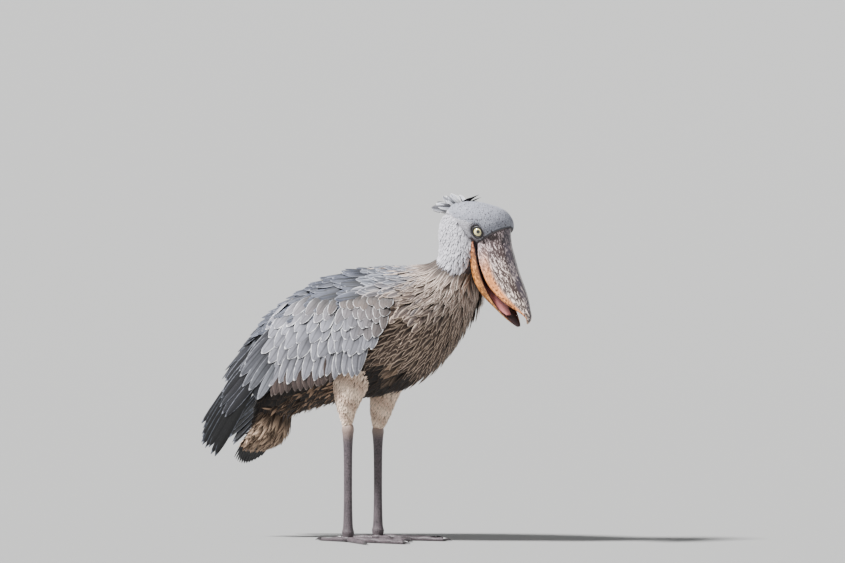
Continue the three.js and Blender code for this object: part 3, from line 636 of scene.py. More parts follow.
roots = scatter(skull, 0.03, 0.985, (2.7, 2.6))
at = skull(roots[:, 0], roots[:, 1])
local = skull_local(roots[:, 0], roots[:, 1])
eye_gap = np.hypot(local[:, 0], local[:, 2] - 1)
keep = ~in_trunk(at) & ~((eye_gap < 12) & (np.abs(local[:, 1]) > 30))
keep &= ~((local[:, 0] > 2) & (local[:, 2] < -18) & (local[:, 2] > -36) & (np.abs(local[:, 1]) > 20))
roots, local, eye_gap = roots[keep], local[keep], eye_gap[keep]
count = len(roots)
cap_edge = np.interp(local[:, 0], (-97, -57, -23, 0, 20), (-60, -39, -3, 15, 14))
cap_edge = cap_edge + rng.normal(0, 2.5, count)
cap = (local[:, 2] > cap_edge).astype(float)
tint = blend(srgb(184, 182, 189), srgb(146, 148, 159), cap)
rim = blend(srgb(200, 198, 205), srgb(168, 170, 181), cap)
flecks = (rng.random(count) < 0.06) & (cap > 0)
gape = smoothstep(5, 13, local[:, 0]) * smoothstep(20, 8, local[:, 2]) * (np.abs(local[:, 1]) > 20)
around = smoothstep(16.5, 13.5, eye_gap) * (np.abs(local[:, 1]) > 25)
corner = np.exp(-((local[:, 0] - 12) ** 2 + (local[:, 2] - 12) ** 2) / 26) * (np.abs(local[:, 1]) > 20)
dark = np.maximum(np.maximum(gape * rng.uniform(0.35, 1, count), around * 0.85), flecks * 0.8)
# The corner, gape, rings round the eyes and flecks are the feathers' own dark colour; along the jaw fold it
# is painted shade in the crease.
dark = np.maximum(np.maximum(dark, 0.9 * corner), 0.85 * jaw_fold(skull(roots[:, 0], roots[:, 1])))
tint = blend(tint, srgb(62, 54, 58), dark)
rim = blend(rim, srgb(104, 94, 98), dark)
near_eye = 1 - 0.6 * smoothstep(22, 15, eye_gap)
length = np.interp(roots[:, 0], (0, 0.8, 1), (9, 6.5, 5)) * near_eye
coat("head feathers", skull, roots, length, 1.9, 2.2, 0.6, coloured(tint, 0.1, 0, count),
     coloured(rim, 0.08, 0.7, count), head_feather, "plumage_head", outline=SMALL, thick=0.4,
     uv=(0.5, 0, 0.48, 0.48))

# Crest: narrow grey feathers, whitish at their tips, in a loose fan.
# They are rooted close together at the back of the crown, each turned a little on its shaft.
wing_feather = feather_material("wing feather", barbs=60, roughness=0.5, gloss=0.3, rim_from=0.86)
FINE = (
    np.array((-1, -0.68, -0.34, 0, 0.34, 0.68, 1, 0.6, 0, -0.6)),
    np.array((0, 0.7, 0.85, 1.3, 0.85, 0.7, 0, 0, 0.1, 0)),
)
LONG = (
    np.array((0, 0.15, 0.35, 0.55, 0.74, 0.87, 0.95, 1)),
    np.array((0.5, 0.8, 0.97, 1, 0.95, 0.72, 0.42, 0.05)),
)
CREST = 28
s = np.linspace(0, 1, CREST)
s = np.where(s < 0.6, 0.62 * s, 0.62 + 0.95 * (s - 0.6))
across = 26 * rng.uniform(-1, 1, CREST)
size = (52 + 14 * s) * rng.uniform(0.72, 1.04, CREST)
lie = np.radians(187 + 70 * s + 4 * rng.uniform(-1, 1, CREST))
base = np.stack((-88 - 6 * s, 0.5 * across, -42 - 16 * s), -1)
heading = unit(np.stack((np.cos(lie), 0.012 * across, np.sin(lie) * 0.9 - 0.15), -1))
out = unit(np.stack((heading[:, 2], 0 * s, -heading[:, 0]), -1))
out *= np.where(out[:, 2:] < 0, -1, 1)
v = LONG[0]
line = base[:, None] + heading[:, None] * (size[:, None] * v - 10)[..., None]
line = line + out[:, None] * (6 * v**2)[..., None]
up = np.repeat((out @ HEAD.T)[:, None], len(v), 1)
vanes("crest feathers", from_head(line), up, 8.4, 0.8, LONG, FINE,
      coloured(srgb(170, 172, 180), 0.24, 0.6, CREST), coloured(srgb(244, 242, 240), 0.05, 1, CREST),
      np.stack((0.55 + 0.4 * s, 0.52 + 0 * s), -1), wing_feather, "plumage_head",
      roll=np.radians(62) * np.where(np.arange(CREST) % 2, 1, -1))

# Tuft: a few short, blackish feathers, stiffer than the crest's.
# They stand up in front of it, rooted in the skin of the crown.
TUFT = 7
s = np.linspace(-1, 1, TUFT)
base = np.stack((-88 + 4 * rng.uniform(-1, 1, TUFT), 5 * s, -30 + 0 * s), -1)
heading = unit(np.stack((-0.05 + 0.16 * rng.uniform(-1, 1, TUFT), 0.2 * s, 1 + 0 * s), -1))
out = unit(np.stack((1 + 0 * s, 0 * s, -heading[:, 0]), -1))
v = SPEAR[0]
size = 42 * rng.uniform(0.75, 1.0, TUFT)
line = base[:, None] + heading[:, None] * (size[:, None] * v)[..., None]
line = line + out[:, None] * (5 * v**2)[:, None]
up = np.repeat((out @ HEAD.T)[:, None], len(v), 1)
vanes("tuft feathers", from_head(line), up, 4.6, 0.7, SPEAR, THIN,
      coloured(srgb(58, 58, 64), 0.2, 0.3, TUFT), coloured(srgb(120, 120, 128), 0.1, 0.6, TUFT),
      np.stack((0.75 + 0.1 * s, 0.53 + 0 * s), -1), wing_feather, "plumage_head")

# Thigh feathers: short, soft feathers of a pinkish tan, close to down.
# They lie down the leg from the body to the ankle, and are shortest where the bare shank begins.
down_feather = feather_material("down", barbs=20, roughness=0.85, down=0.08, gloss=0.1)
for name, side in SIDES:
    surface = thigh(side)
    roots = scatter(surface, 0.04, 0.98, (6.5, 5.5))
    at = surface(roots[:, 0], roots[:, 1])
    roots = roots[~in_trunk(at, 6.0)]
    count = len(roots)
    shade = np.clip(0.5 + 0.5 * np.sin(roots[:, 0] * 31 + roots[:, 1] / 23), 0, 1)
    tint = blend(srgb(196, 166, 146), srgb(236, 210, 188), shade)
    ankle_taper = smoothstep(0.0, 0.2, roots[:, 0])
    coat("thigh feathers " + name, surface, roots, 11 + 9 * ankle_taper, 2.6 + 1.4 * ankle_taper, 4,
         0.3 + 1.1 * ankle_taper, coloured(tint, 0.14, 0.15, count),
         coloured(srgb(248, 230, 210), 0.05, 0.7, count), down_feather, "plumage_leg", thick=0.5,
         uv=(0.5 if side < 0 else 0.75, 0.55, 0.24, 0.2))

# Wings, folded along the flanks: tiers of grey coverts over brown secondaries and black primaries.
# Each tier is rooted along the arm, under the tier above it, and the long tertials close over the primaries.
ROUND = (
    np.array((0, 0.15, 0.35, 0.55, 0.7, 0.82, 0.91, 0.97, 1)),
    np.array((0.4, 0.72, 0.95, 1, 0.9, 0.7, 0.46, 0.23, 0.04)),
)
MANTLE = np.array((
    (215, 545, 92, 82, 92), (150, 508, 111, 112, 122), (75, 475, 122, 138, 137), (-5, 445, 125, 150, 140),
    (-90, 408, 119, 150, 130), (-170, 365, 104, 137, 108), (-240, 320, 86, 118, 88), (-310, 270, 70, 92, 72),
    (-380, 215, 56, 66, 60), (-440, 168, 46, 50, 50),
), float)


def flank(x, z):
    """How far the folded wing stands from the midline at places in side view."""
    t = np.linspace(0, 1, 121)
    centre = smooth(MANTLE[:, :2], t)
    along = unit(smooth(MANTLE[:, :2], t + 2e-3) - smooth(MANTLE[:, :2], t - 2e-3))
    pace = np.linalg.norm(np.gradient(centre, axis=0), axis=1) * 120
    offset = np.stack((x, z), -1)[..., None, :] - centre
    miss = np.sum(offset * along, -1)
    best = np.argmin(np.abs(miss), axis=-1)
    fine = t[best] + np.take_along_axis(miss, best[..., None], -1)[..., 0] / pace[best]
    fine = np.clip(fine, 0, 1)
    centre, size = smooth(MANTLE[:, :2], fine), smooth(MANTLE[:, 2:], fine)
    along = unit(smooth(MANTLE[:, :2], fine + 2e-3) - smooth(MANTLE[:, :2], fine - 2e-3))
    rise = (x - centre[..., 0]) * along[..., 1] - (z - centre[..., 1]) * along[..., 0]
    tall = np.where(rise > 0, size[..., 1], size[..., 2])
    reach = np.minimum(np.abs(rise) / tall, 0.985)
    return size[..., 0] * (1 - reach**2.7) ** (1 / 2.7)


def on_flank(side, x, z, lift):
    y = flank(x, z)
    slope_x = (flank(x + 4, z) - flank(x - 4, z)) / 8
    slope_z = (flank(x, z + 4) - flank(x, z - 4)) / 8
    out = unit(np.stack((-slope_x, np.full_like(y, side), -slope_z), -1))
    return np.stack((x, side * y, z), -1) + out * np.asarray(lift)[..., None], out


SLATE, SILVER, DUSK = srgb(124, 124, 132), srgb(240, 240, 242), srgb(104, 95, 92)
BROWN, BLACK = srgb(64, 53, 50), srgb(9, 9, 11)
WING_ROWS = (
    # count, roots and tips in side view, half width, lift, outline, colour, rim, rim strength, shaft
    (12, ((-150, 484), (-196, 440), (-190, 396)), ((-387, 262), (-391, 221), (-366, 186)), 11, 1.5, LONG,
     BLACK, srgb(84, 88, 98), 0.75, 0.2),
    (6, ((-140, 490), (-170, 445), (-150, 405)), ((-316, 352), (-332, 300), (-314, 258)), 11, 3.4, LONG,
     srgb(28, 28, 32), srgb(124, 127, 137), 0.8, 0.3),
    (13, ((34, 440), (-55, 422), (-150, 410)), ((-6, 361), (-72, 341), (-185, 318)), 14, 1.6, ROUND,
     BROWN, srgb(128, 118, 112), 0.6, 0.6),
    (7, ((-105, 515), (-140, 470), (-118, 430)), ((-242, 404), (-260, 356), (-209, 314)), 11.5, 5.6, LONG,
     np.array((srgb(52, 52, 58), srgb(74, 75, 81), srgb(112, 114, 121))), srgb(166, 168, 175), 0.85, 0.6),
    (14, ((104, 462), (12, 456), (-120, 438)), ((78, 376), (-20, 368), (-180, 346)), 14.5, 3.0, ROUND,
     SLATE * 0.95, SILVER, 0.95, 0.5),
    (13, ((126, 492), (20, 486), (-124, 468)), ((104, 424), (-12, 415), (-194, 388)), 17.5, 4.2, ROUND,
     SLATE, SILVER, 0.95, 0.45),
    (12, ((136, 512), (26, 506), (-130, 494)), ((124, 455), (2, 447), (-200, 422)), 17.5, 5.2, ROUND,
     np.array((DUSK, SLATE, SLATE * 1.1)), SILVER, 0.95, 0.4),
    (12, ((142, 526), (32, 522), (-134, 512)), ((136, 478), (14, 471), (-200, 448)), 17, 6.0, ROUND,
     np.array((DUSK, SLATE, SLATE * 1.1)), SILVER, 0.95, 0.4),
    (13, ((148, 540), (38, 536), (-136, 528)), ((146, 499), (24, 491), (-200, 470)), 15.5, 6.8, ROUND,
     np.array((DUSK, 0.5 * (DUSK + SLATE), SLATE * 1.1)), SILVER, 0.95, 0.35),
    (14, ((150, 552), (42, 549), (-138, 542)), ((152, 518), (32, 510), (-196, 490)), 13.5, 7.6, ROUND,
     np.array((DUSK, DUSK, SLATE * 1.1)), SILVER, 0.9, 0.35),
)
for name, side in SIDES:
    lines, kinds = [], []
    for number, (n, starts, ends, half, lift, outline, base, edge, strength, shaft) in enumerate(WING_ROWS):
        s = (np.arange(n) + (0.3 if number % 2 else 0.8)) / n
        start, end = smooth(np.array(starts, float), s), smooth(np.array(ends, float), s)
        start, end = start + rng.normal(0, 5.0, (n, 2)), end + rng.normal(0, 3.4, (n, 2))
        front = smoothstep(0, 0.16, s) if outline is ROUND else np.ones(n)
        v = outline[0]
        way = start[:, None] + (end - start)[:, None] * v[:, None]
        height = np.where(v < 0.5, -2.5 + (lift + 2.5) * smoothstep(0, 0.5, v), lift) + 2.4 * v**2
        height = height[None] + 0.5 * (np.arange(n) % 2)[:, None] + rng.normal(0, 0.25, (n, 1))
        line, up = on_flank(side, way[..., 0], way[..., 1], height)
        hue = smooth(base, s) if np.ndim(base) > 1 else np.broadcast_to(base, (n, 3))
        # Painted shade: the front feathers of each covert row are darker, at the shaded gap where the wing
        # meets the breast.
        hue = hue * (0.6 + 0.4 * front)[:, None]
        half = half * rng.uniform(0.85, 1.1, n) * (0.7 + 0.3 * front)
        lines.append((line, up, half, coloured(hue, 0.2, shaft, n), coloured(edge, 0.08, strength, n)))
        kinds.append(outline)
    for label, outline, roll in (("coverts", ROUND, 3), ("quills", LONG, 6)):
        rows = [row for row, kind in zip(lines, kinds) if kind is outline]
        line, up, half, tint, rim = (np.concatenate([row[c] for row in rows]) for c in range(5))
        root = line[:, 0]
        spot = np.stack((0.02 + 0.4 * (root[:, 0] + 420) / 640, 0.55 + 0.4 * (root[:, 2] - 150) / 480), -1)
        twist = np.radians(roll * side + rng.normal(0, 6, len(half)))
        made = vanes(f"wing {label} {name}", line, up, half, 0.9, outline, FINE, tint, rim, spot,
                     wing_feather, "plumage_wing", roll=twist, camber=0.11)
        if outline is ROUND:
            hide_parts("wing_" + name)

# Wing cores: the arms inside both folded wings, with the skin between them, as one saddle over the back.
# They lie out of sight below the feathers that are rooted on them.


def mantle(t, angle, lift=0.0):
    return trunk(MANTLE, 2.7, t, angle, lift)


def plain(name, colour, roughness):
    material, tree, shader = nodes_of(name)
    shader.inputs["Base Color"].default_value = colour
    shader.inputs["Roughness"].default_value = roughness
    return material


core_material = plain("wing core", paint(62, 64, 70), 0.8)
tt = np.linspace(0.1, 0.66, 40)[:, None]
low = np.interp(tt, (0.1, 0.18, 0.26, 0.34, 0.66), (52, 26, 4, -12, -4))
fan = np.linspace(0, 1, 41)[None]
outer = mantle(tt, low + (180 - 2 * low) * fan, -3.0)
inner = mantle(tt, low + (180 - 2 * low) * fan[:, ::-1], -14.0)
loft("wing core", np.concatenate((outer, inner), 1), core_material, "plumage_wing")

# Mantle and scapulars: broad slate feathers over the back and the tops of the wings.
# They are rooted along the shoulders and lie backwards, ragged along their lower edge.
SCAPULAR_LOW = ((0.0, 0.12, 0.3, 0.45, 0.6), (16, 18, 22, 36, 60))
roots = scatter(mantle, 0.17, 0.50, (20, 16), angles=(10, 170), jitter=0.5)
limit = np.interp(roots[:, 0], *SCAPULAR_LOW)
roots = roots[(roots[:, 1] > limit) & (roots[:, 1] < 180 - limit)]
count = len(roots)
coat("scapulars", mantle, roots, 68, 13.5, 3, 10, coloured(srgb(70, 73, 84), 0.34, 0.9, count),
     coloured(srgb(140, 143, 154), 0.1, 0.8, count), wing_feather, "plumage_body", outline=ROUND,
     section=FINE, thick=0.9, splay=8, uv=(0, 0.5, 0.4, 0.04), direction=1)

# Rump feathers: long, dark feathers between the folded wings.
# They are rooted on the lower back and cover the roots of the tail.
roots = scatter(mantle, 0.44, 0.62, (24, 17), angles=(52, 128), jitter=0.4)
count = len(roots)
coat("rump feathers", mantle, roots, 104, 13, 4, 5, coloured(srgb(42, 43, 49), 0.2, 0.7, count),
     coloured(srgb(104, 107, 116), 0.1, 0.8, count), wing_feather, "plumage_body", outline=LONG,
     section=FINE, thick=0.9, splay=6, uv=(0.2, 0.46, 0.2, 0.04), direction=1)

# Cape: the coat of the neck, which runs on over the shoulders and the fronts of the wings.
# Narrow brown feathers in front give way to broad grey ones behind, all rooted in the skin.
CAPE = np.array((
    (262, 640, 57, 55, 51), (250, 604, 66, 58, 62), (222, 566, 84, 72, 82), (180, 530, 104, 98, 108),
    (128, 498, 117, 124, 126), (66, 470, 124, 140, 139), (0, 447, 127, 153, 142), (-70, 417, 123, 154, 136),
), float)


def cape(t, angle, lift=0.0):
    return trunk(CAPE, 2.4, t, angle, lift)


def cape_spacing(t):
    return np.interp(t, (0.1, 0.5), (8, 14)), np.interp(t, (0.1, 0.5), (6.5, 12))


roots = scatter(cape, 0.1, 0.56, cape_spacing, angles=(-72, 252), jitter=0.5)
limit = np.interp(roots[:, 0], (0.1, 0.2, 0.32, 0.4, 0.47, 0.56), (-72, -56, -38, -16, 8, 20))
limit += rng.normal(0, 4, len(roots))
roots = roots[(roots[:, 1] > limit) & (roots[:, 1] < 180 - limit)]
t, a = roots[:, 0], roots[:, 1]
flanks = smoothstep(44, 8, np.minimum(a, 180 - a)) * smoothstep(0.62, 0.42, t)
flanks = np.maximum(flanks, smoothstep(0.24, 0.12, t))
flanks = np.clip(flanks + rng.normal(0, 0.12, len(roots)), 0, 1)
pale = smoothstep(0.34, 0.12, t)
tint = blend(srgb(92, 95, 104), srgb(84, 70, 63), flanks)
tint = blend(tint, srgb(146, 127, 116), flanks * pale)
rim = blend(srgb(160, 162, 170), srgb(192, 172, 154), flanks)
rim = blend(rim, srgb(240, 224, 210), flanks * pale)
for label, outline, pick in (("front", SPEAR, t < 0.36), ("back", LONG, t >= 0.36)):
    n = int(pick.sum())
    coat("cape feathers " + label, cape, roots[pick], np.interp(t[pick], (0.1, 0.5), (40, 62)),
         np.interp(t[pick], (0.1, 0.36, 0.5), (5, 7.5, 11)), 8, np.interp(t[pick], (0.1, 0.5), (4.5, 6)),
         coloured(tint[pick], 0.2, 0.75, n), coloured(rim[pick], 0.1, 0.85, n), body_feather, "plumage_body",
         outline=outline, thick=0.7, splay=9, uv=(0, 0.48, 0.4, 0.01), direction=1)

# Tail: stiff, blackish feathers in a narrow fan, fixed side by side in the stub of the tail.
# Soft brown down grows under their roots and along the belly.
TAIL_FEATHERS = 12
s = np.linspace(-1, 1, TAIL_FEATHERS)
start = np.stack((-240 + 0 * s, 14 * s, 290 + 0 * s), -1)
end = np.stack((-316 + 10 * s**2, 56 * s, 168 + 14 * s**2), -1)
along = end - start
out = unit(np.stack((along[:, 2], 0 * s, -along[:, 0]), -1)) * -1
out = unit(out + np.stack((0 * s, -0.35 * s, 0 * s), -1))
v = LONG[0]
lift = 3.2 * (1 - np.abs(s))
line = start[:, None] + along[:, None] * v[:, None]
line = line + out[:, None] * (lift[:, None] - 10 * v * (1 - v))[..., None]
tail = vanes("tail feathers", line, np.repeat(out[:, None], len(v), 1), 15, 1.0, LONG, FINE,
             coloured(srgb(9, 9, 11), 0.12, 0.3, TAIL_FEATHERS),
             coloured(srgb(44, 45, 51), 0.1, 0.5, TAIL_FEATHERS),
             np.stack((0.5 + 0.2 * s, 0.8 + 0 * s), -1), wing_feather, "plumage_tail", camber=0.1)
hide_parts("tail")
roots = scatter(rump, 0.02, 0.62, (7, 7), jitter=0.6)
count = len(roots)
back = smoothstep(0.2, 0.8, np.sin(np.radians(roots[:, 1])))
mixed_down = rng.random(count)
tint = blend(srgb(84, 69, 58), srgb(176, 150, 128), smoothstep(0.3, 0.95, mixed_down))
tint = blend(tint, srgb(26, 25, 28), back)
length = np.interp(roots[:, 0], (0, 0.62), (46, 32)) * (1 - 0.4 * back)
rim = blend(srgb(186, 162, 140), srgb(60, 60, 66), back)
coat("down under the tail", rump, roots, length, 4, 5, 7, coloured(tint, 0.3, 0.1, count),
     coloured(rim, 0.14, 0.7, count), down_feather, "plumage_tail", thick=0.6, splay=12,
     uv=(0.5, 0.9, 0.4, 0.08), direction=1)
roots = scatter(body, 0.03, 0.3, (13, 11), angles=(215, 325), jitter=0.7)
count = len(roots)
mixed_down = rng.random(count)
tint = blend(srgb(54, 44, 38), srgb(150, 124, 104), smoothstep(0.5, 0.95, mixed_down))
coat("loose down on the belly", body, roots, 46, 4.2, 5, 10, coloured(tint, 0.25, 0.1, count),
     coloured(srgb(140, 118, 98), 0.2, 0.6, count), down_feather, "plumage_body",
     thick=0.6, splay=20, uv=(0, 0, 0.48, 0.48))

# Bill: two halves of hard horn over bone, pale and blotched with brown, with orange cutting edges.
# The upper half is broad, with a low keel and a hook, and is fixed to the skull. The lower one is a scoop,
# hung from the jaw.


def head_coords(tree):
    """Metres in the head's own frame: along the bill, to the bird's left, and to the ridge."""
    here = node(tree, "ShaderNodeTexCoord").outputs["Object"]
    here = node(tree, "ShaderNodeMapping", {0: here, 1: tuple(-world(EYES))}).outputs[0]
    here = node(tree, "ShaderNodeMapping", {0: here, 2: (0, 0, -HEAD_TURN)}).outputs[0]
    return node(tree, "ShaderNodeMapping", {0: here, 2: (0, -BILL_PITCH, 0)}).outputs[0]


# The pattern of the horn: long brown blotches, scattered flecks and a fine relief along the bill.
horn_pattern, given, result = group(
    "horn pattern",
    {"Place": "Vector", "Height": "Float"},
    {"Blotch": "Float", "Flecks": "Float", "Relief": "Float"},
)
stretched = [
    node(horn_pattern, "ShaderNodeMapping", {0: given["Place"], 3: scale}).outputs[0]
    for scale in ((44, 300, 300), (120, 560, 560), (150, 210, 210))
]
streak = noise(horn_pattern, stretched[0], 1.0, 6, Roughness=0.62, Distortion=0.7)
fine = noise(horn_pattern, stretched[1], 1.0, 4)
wide = noise(horn_pattern, given["Place"], 22, 2)
total = maths(horn_pattern, "MULTIPLY_ADD", fine, 0.5, maths(horn_pattern, "MULTIPLY", streak, 0.7))
total = maths(horn_pattern, "MULTIPLY_ADD", wide, 0.25, total)
total = maths(horn_pattern, "MULTIPLY_ADD", step(horn_pattern, given["Height"], 0.35, 0.95), 0.02, total)
horn_pattern.links.new(step(horn_pattern, total, 0.69, 0.745), result["Blotch"])
spots = noise(horn_pattern, stretched[2], 1.0, 2)
horn_pattern.links.new(step(horn_pattern, spots, 0.53, 0.58), result["Flecks"])
fine = maths(horn_pattern, "MULTIPLY", fine, 0.3)
relief = maths(horn_pattern, "ADD", maths(horn_pattern, "MULTIPLY", streak, 0.7), fine)
horn_pattern.links.new(relief, result["Relief"])


def horn_material(name, lower):
    material, tree, shader = nodes_of(name)
    uv = node(tree, "ShaderNodeUVMap", uv_map="Shell").outputs["UV"]
    split = node(tree, "ShaderNodeSeparateXYZ", {0: uv})
    height = maths(tree, "SINE", maths(tree, "MULTIPLY", split.outputs[1], 2 * math.pi))
    given = {"Place": head_coords(tree), "Height": height}
    pattern = node(tree, "ShaderNodeGroup", given, node_tree=horn_pattern)
    blotch, flecks, relief = pattern.outputs
    dark = paint(38, 22, 22)
    if lower:
        inside = step(tree, split.outputs[1], 0.49, 0.53)
        rim = maths(tree, "ABSOLUTE", maths(tree, "MULTIPLY_ADD", split.outputs[1], 4, -1))
        rim = step(tree, rim, 0.9, 0.99)
        orange = step(tree, split.outputs[0], 0.0, 0.25)
        colour = mixed(tree, orange, paint(190, 120, 82), paint(242, 160, 84))
        cover = maths(tree, "MULTIPLY", maths(tree, "MAXIMUM", blotch, flecks), 0.8)
        colour = mixed(tree, cover, colour, dark)
        colour = mixed(tree, maths(tree, "MULTIPLY", rim, 0.7), colour, paint(60, 40, 36))
        colour = mixed(tree, step(tree, split.outputs[0], 0.8, 0.95), colour, paint(52, 38, 36))
        # Painted shade: the inner face of the scoop, inside the mouth, is painted dark.
        colour = mixed(tree, inside, colour, paint(48, 26, 26))
    else:
        base = mixed(tree, step(tree, split.outputs[0], 0.0, 0.5), paint(204, 184, 186), paint(250, 230, 218))
        edge = step(tree, height, 0.46, 0.2)
        edge = maths(tree, "MULTIPLY", edge, step(tree, split.outputs[0], 0.02, 0.34))
        colour = mixed(tree, maths(tree, "MULTIPLY", edge, 0.9), base, paint(242, 148, 66))
        clear = maths(tree, "SUBTRACT", 0.95, maths(tree, "MULTIPLY", edge, 0.55))
        cover = maths(tree, "MULTIPLY", blotch, clear)
        cover = maths(tree, "MAXIMUM", cover, maths(tree, "MULTIPLY", flecks, 0.8))
        colour = mixed(tree, cover, colour, dark)
        # Painted shade: a blue-grey strip along the ridge stands for the far side of the bill beyond the
        # keel, turned from the light.
        ridge_shade = step(tree, height, 0.9, 0.99)
        colour = mixed(tree, maths(tree, "MULTIPLY", ridge_shade, 0.7), colour, paint(64, 60, 70))
        colour = mixed(tree, step(tree, split.outputs[0], 0.93, 1.0), colour, paint(190, 164, 134))
        # Painted shade: the underside of the upper half, inside the mouth, is painted dark.
        colour = mixed(tree, step(tree, height, -0.84, -0.93), colour, paint(56, 32, 30))
    dress(tree, shader, colour, relief, 0.45, 0.0015, 0.34)
    shader.inputs["Specular IOR Level"].default_value = 0.5
    return material


UPPER = np.array((
    (20.3, 51, 41, -31), (45, 37, 46, -40), (75, 29, 49, -45), (110, 22, 49, -46), (145, 19, 44, -38),
    (175, 16, 34, -25), (200, 9.8, 22, -10), (215, 5.4, 12, -5), (223.4, -2, 7, -9), (226.2, -9, 3, -13),
), float)
x, top, half, edge = np.moveaxis(smooth(UPPER, np.linspace(0, 1, 90)), -1, 0)[..., None]
turns = np.linspace(0, 2 * math.pi, 97)[:-1][None]
c, s = np.cos(turns), np.sin(turns)
middle = edge + 0.28 * (top - edge)
y = c * half
keel = 4 * np.exp(-((y / 8) ** 2)) - 1.2 * np.exp(-(((np.abs(y) - 15) / 5) ** 2)) * (half > 20)
rise = np.maximum(s, 0)
over = stacked(
    x, y * (1 - 0.16 * np.sin(math.pi * rise)), middle + rise**1.1 * (top - 4 - middle) + keel * rise)
under = stacked(x, y * (1 - 0.1 * s * s), middle + s * (middle - edge))
shell = np.where((s < 0)[..., None], under, over)
# The nostrils are narrow slits beside the ridge, close to the forehead.
slit = np.exp(-(((shell[..., 0] - 42) / 6) ** 4) - ((np.abs(shell[..., 1]) - 16) / 1.7) ** 4) * (s > 0)
shell[..., 2] -= 3.2 * slit
bill = loft("upper bill", from_head(shell), horn_material("horn", False), "bill")
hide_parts("bill_upper")

LOWER = np.array((
    (10, -24, 40, -54), (40, -30, 45, -70), (70, -36.5, 48, -79), (100, -41, 48, -80), (130, -44, 44, -73),
    (160, -44.5, 36, -61), (190, -41, 25, -50), (210, -37, 14, -42), (219, -35, 6, -38),
), float)
x, lip, half, edge = np.moveaxis(smooth(LOWER, np.linspace(0, 1, 70)), -1, 0)[..., None]
turns = np.linspace(math.pi, 2 * math.pi, 33)[None]
outside = stacked(x, np.cos(turns) * half, lip + np.sin(turns) * (lip - edge))
hollow = np.maximum(lip - edge - 3.2, 1.0)
turns = turns[:, ::-1]
inside = stacked(x, np.cos(turns) * np.maximum(half - 3.5, 1.5), lip + np.sin(turns) * hollow)
shell = from_head(np.concatenate((outside, inside), 1))
scoop = loft("lower bill", shell, horn_material("lower horn", True), "bill")
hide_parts("bill_lower")

# Tongue and lining: moist pink skin on the floor of the lower half of the bill.
# It is fixed at its root and along its middle, and shows where the bill stands open.
material, tree, shader = nodes_of("mouth lining")
at_mouth = node(tree, "ShaderNodeTexCoord").outputs["Object"]
folds = noise(tree, at_mouth, 70, 4)
pink = mixed(tree, folds, paint(186, 104, 106), paint(232, 158, 156))
shell_uv = node(tree, "ShaderNodeUVMap", uv_map="Shell").outputs["UV"]
along = node(tree, "ShaderNodeSeparateXYZ", {0: shell_uv}).outputs[0]
# Painted shade: the tongue is painted dark toward its root, deep in the mouth.
pink = mixed(tree, step(tree, along, 0.3, 0.55), paint(64, 34, 36), pink)
dress(tree, shader, pink, folds, 0.4, 0.001, 0.3)
TONGUE = np.array((
    (52, -58, 20, 5), (80, -61, 30, 7), (110, -61, 31, 7), (140, -57, 27, 6), (165, -52, 19, 4),
    (184, -46.5, 9, 2.5),
), float)
x, z, half, deep = np.moveaxis(smooth(TONGUE, np.linspace(0, 1, 30)), -1, 0)[..., None]
turns = np.linspace(0, 2 * math.pi, 33)[:-1][None]
rings = stacked(x, np.cos(turns) * half, z + np.sin(turns) * deep)
tongue = loft("tongue", from_head(rings), material, "mouth")
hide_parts("tongue")

# Eyes: wet balls with a pale yellow iris round a small pupil, set deep in the sockets.
# Each is held by a ring of bare, dark skin, its two lids.
eye_material, tree, shader = nodes_of("eye")
reach = node(tree, "ShaderNodeAttribute", attribute_name="from_axis").outputs["Fac"]
at_eye = node(tree, "ShaderNodeTexCoord").outputs["Object"]
rays = noise(tree, at_eye, 600, 3)
iris = mixed(tree, rays, paint(222, 206, 128), paint(250, 243, 188))
iris = mixed(tree, step(tree, reach, 8.6, 10.2), iris, paint(40, 34, 30))
iris = mixed(tree, step(tree, reach, 4.4, 4.0), iris, grey(0.003))
tree.links.new(iris, shader.inputs["Base Color"])
shader.inputs["Roughness"].default_value = 0.08
shader.inputs["Coat Weight"].default_value = 1.0
lid_material = plain("lid", paint(24, 21, 23), 0.5)
EYE_RADIUS, EYE_OUT = 12.5, 42  # the ball, and its centre's distance from the midline
LID_FORWARD, LID_UP = math.radians(18), math.radians(8)
